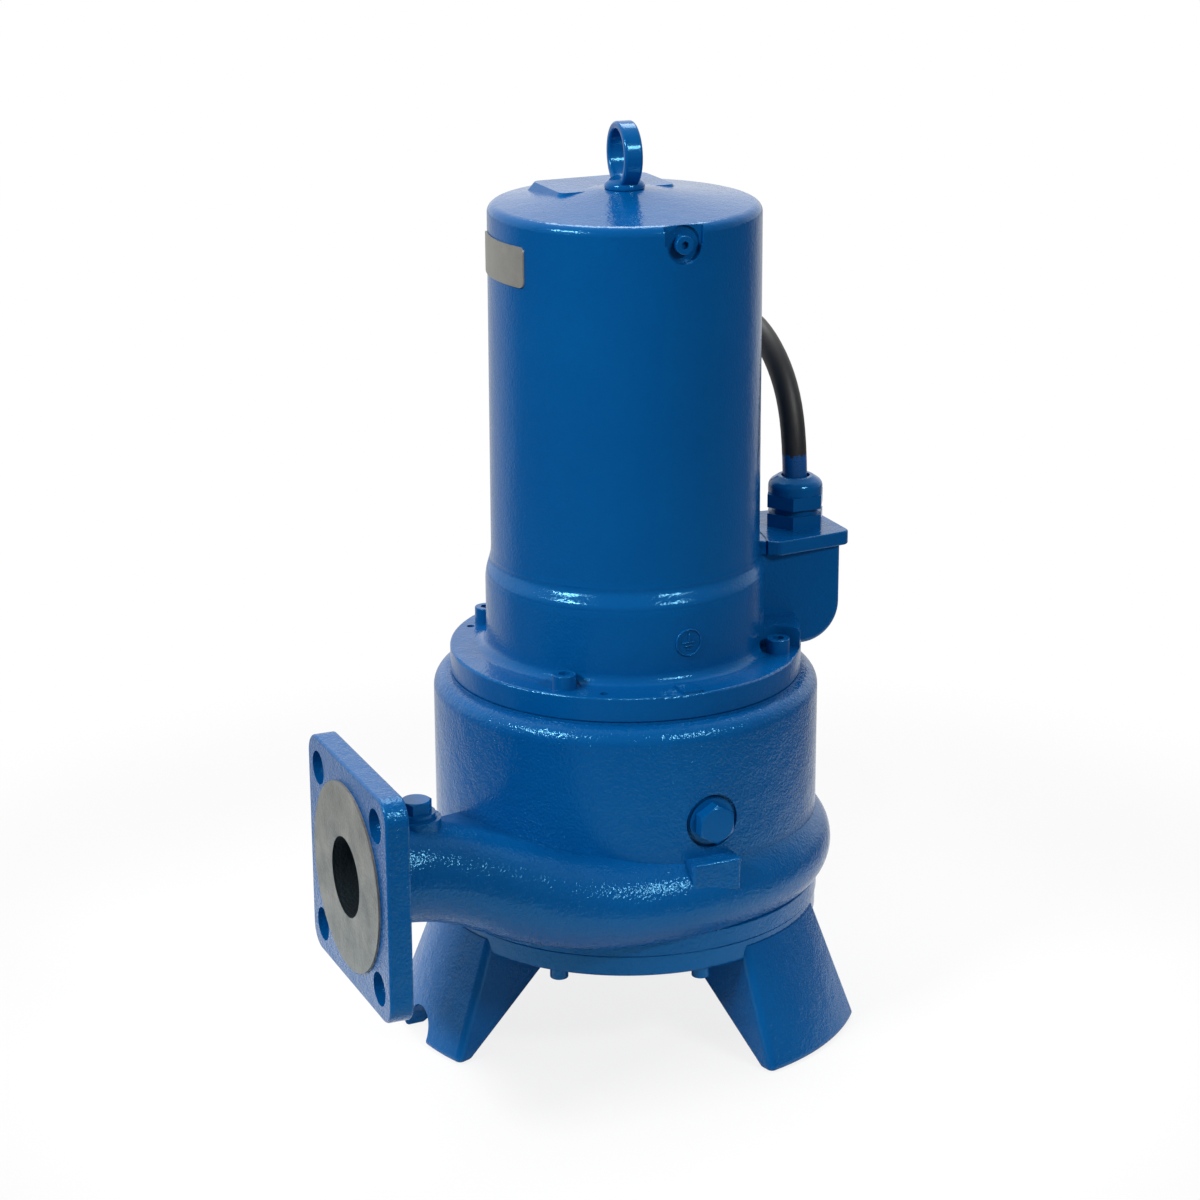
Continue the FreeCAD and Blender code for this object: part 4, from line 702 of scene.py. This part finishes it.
def makeEarthMark():
    mesh = bmesh.new()
    ring = []
    for index in range(earthMark["ringSteps"]):
        turn = math.tau * index / earthMark["ringSteps"]
        across = earthMark["ringRadius"] * math.cos(turn)
        ring.append((across, earthMark["ringRadius"] * math.sin(turn)))
    raisedRun(mesh, ring, True)
    steps = earthMark["barSteps"]
    for (fromAcross, fromUp), (toAcross, toUp) in earthMark["bars"]:
        bar = []
        for index in range(steps + 1):
            share = index / steps
            across = fromAcross + (toAcross - fromAcross) * share
            bar.append((across, fromUp + (toUp - fromUp) * share))
        raisedRun(mesh, bar, False)
    bmesh.ops.recalc_face_normals(mesh, faces=mesh.faces)
    makePiece("earthMark", mesh, smallPaint)


makeEarthMark()
print("earth mark done")

# the ties that hold the coil
tie = {
    "angles": (345.0, 215.0, 270.0),  # degrees about the coil's middle
    "halfWidth": 0.0024,
    "outerShare": 0.8,  # of the width, at the band's outer face
    "thickness": 0.0012,
    "pressed": 0.0002,  # into the cable
    "cornerSteps": 6,
    "head": (0.0050, 0.0060, 0.0038),
    "headBevel": 0.0006,
    "headSteps": 2,
    "nylon": {
        "dark": (0.012, 0.012, 0.013, 1.0), "light": (0.022, 0.022, 0.023, 1.0),
        "roughness": 0.34, "scale": 700.0, "depth": 0.00003, "metallic": 0.0,
    },
}


def tieOutline(outward):  # radius and height round the coil's section
    half = cable["columns"] / 2 * cable["diameter"]
    top = cable["layers"] * cable["diameter"]
    corner = cable["diameter"] / 2
    inner = cable["turnRadius"] - half + corner
    outer = cable["turnRadius"] + half - corner
    reach = corner + outward
    points = []
    for middle, height, start in (
        (outer, corner, -90.0), (outer, top - corner, 0.0),
        (inner, top - corner, 90.0), (inner, corner, 180.0),
    ):
        for index in range(tie["cornerSteps"] + 1):
            turn = math.radians(start + 90.0 * index / tie["cornerSteps"])
            up = max(0.0, height + reach * math.sin(turn))
            points.append((middle + reach * math.cos(turn), up))
    return points


def addTieHead(mesh, move):
    deep, wide, tall = tie["head"]
    radius = cable["turnRadius"] - cable["diameter"]
    height = cable["layers"] * cable["diameter"] + tall / 2
    head = bmesh.ops.create_cube(mesh, size=1.0)["verts"]
    bmesh.ops.scale(mesh, vec=(deep, wide, tall), verts=head)
    place = Matrix.Translation((radius, 0.0, height))
    bmesh.ops.transform(mesh, matrix=move @ place, verts=head)
    edges = [edge for edge in mesh.edges if all(vertex in head for vertex in edge.verts)]
    bevel, steps = tie["headBevel"], tie["headSteps"]
    bmesh.ops.bevel(mesh, geom=edges, offset=bevel, segments=steps, affect="EDGES")


def makeTie(name, angle, material):
    mesh = bmesh.new()
    spin = Matrix.Rotation(math.radians(angle), 4, "Z")
    move = Matrix.Translation((*cable["coilMiddle"], 0.0)) @ spin
    wide = tie["halfWidth"]
    narrow = wide * tie["outerShare"]
    rows = []
    for (near, low), (far, high) in zip(tieOutline(-tie["pressed"]), tieOutline(tie["thickness"])):
        places = ((near, -wide, low), (far, -narrow, high), (far, narrow, high), (near, wide, low))
        rows.append([mesh.verts.new(move @ Vector(place)) for place in places])
    for row, ahead in zip(rows, rows[1:] + rows[:1]):
        for corner in range(len(row)):
            beside = (corner + 1) % len(row)
            mesh.faces.new((row[corner], row[beside], ahead[beside], ahead[corner]))
    addTieHead(mesh, move)
    bmesh.ops.recalc_face_normals(mesh, faces=mesh.faces)
    makePiece(name, mesh, material)


tieFinish = stockFinish("tieNylon", tie["nylon"])
for number, angle in enumerate(tie["angles"], 1):
    makeTie(f"coilTie{number}", angle, tieFinish)
print("coil ties done")

studio = {
    "white": (1.0, 1.0, 1.0, 1.0),
    "brightSide": (0.16, 0.95, 0.26),  # behind the pump
    "ambient": (0.24, 1.05),
    "ambientEdge": (-0.25, 0.75),
    "floorRadius": 9.0,
    "floorSides": 64,
    "floorHeight": -0.0002,
    "sheetEdge": (0.22, 0.60),  # the pale sheet fades to the dark front of the room
    "sheetColour": (0.78, 0.78, 0.78, 1.0),
    "roomColour": (0.10, 0.10, 0.10, 1.0),
    "sheetSeen": 0.82,  # how far the camera sees the sheet as white
    "mirrorEdge": (0.30, 0.72),
    "mirrorShare": 0.62,
    # name, place, aimed at, width and height, power
    "lamps": (
        ("leftBox", (-1.58, -0.42, 1.42), (0.0, 0.0, 0.25), (0.66, 0.36), 33.0),
        ("rightBox", (0.56, -1.55, 1.42), (0.0, 0.0, 0.25), (0.50, 0.30), 17.0),
        ("backBox", (0.48, 1.05, 2.05), (0.0, 0.0, 0.25), (1.20, 0.80), 20.0),
    ),
}


def floorFinish():
    look = Finish("floorCard")
    place = look.place()
    away = look.length(place)
    edge = look.step(away, *studio["sheetEdge"])
    behind = look.step(look.along(place, studio["brightSide"]) / away, *studio["mirrorEdge"])
    seen = look.ray("Camera")
    mirrored = look.ray("Glossy") + look.ray("Transmission")
    colour = look.blend(edge, studio["sheetColour"], studio["roomColour"])
    card = look.put("ShaderNodeBsdfDiffuse", {}, {"Color": colour})
    glow = look.put("ShaderNodeEmission", {}, {"Color": studio["white"], "Strength": 1.0})
    share = seen * (edge * (1.0 - studio["sheetSeen"]) + studio["sheetSeen"])
    share = share + mirrored * behind * studio["mirrorShare"]
    return look.close(look.put("ShaderNodeMixShader", {}, {0: share, 1: card, 2: glow}))


def makeFloor():
    mesh = bmesh.new()
    sides, radius = studio["floorSides"], studio["floorRadius"]
    bmesh.ops.create_circle(mesh, cap_ends=True, segments=sides, radius=radius)
    floor = addMesh("floorCard", mesh, floorFinish())
    floor.location.z = studio["floorHeight"]


class Room(Finish):  # the world's own nodes, wired as a finish is
    def __init__(self, name):
        bpy.context.scene.world = bpy.data.worlds.new(name)
        self.clear(bpy.context.scene.world)


def makeWorld():
    room = Room("studio")
    seen = room.ray("Camera") + room.ray("Transmission")
    direction = room.put("ShaderNodeTexCoord", out="Generated")
    bright = room.step(room.along(direction, studio["brightSide"]), *studio["ambientEdge"])
    low, high = studio["ambient"]
    strength = seen + (1 - seen) * (low + bright * (high - low))
    light = room.put("ShaderNodeBackground", {}, {"Color": studio["white"], "Strength": strength})
    room.put("ShaderNodeOutputWorld", {}, {"Surface": light})


def makeLamp(name, place, aim, size, power):
    data = bpy.data.lights.new(name, "AREA")
    data.shape = "RECTANGLE"
    data.size, data.size_y = size
    data.energy = power
    lamp = addObject(name, data)
    lamp.matrix_world = Matrix.Translation(place) @ facing(Vector(aim) - Vector(place))


makeFloor()
makeWorld()
for lamp in studio["lamps"]:
    makeLamp(*lamp)
bpy.context.scene.view_settings.view_transform = "Standard"
print("stage set")
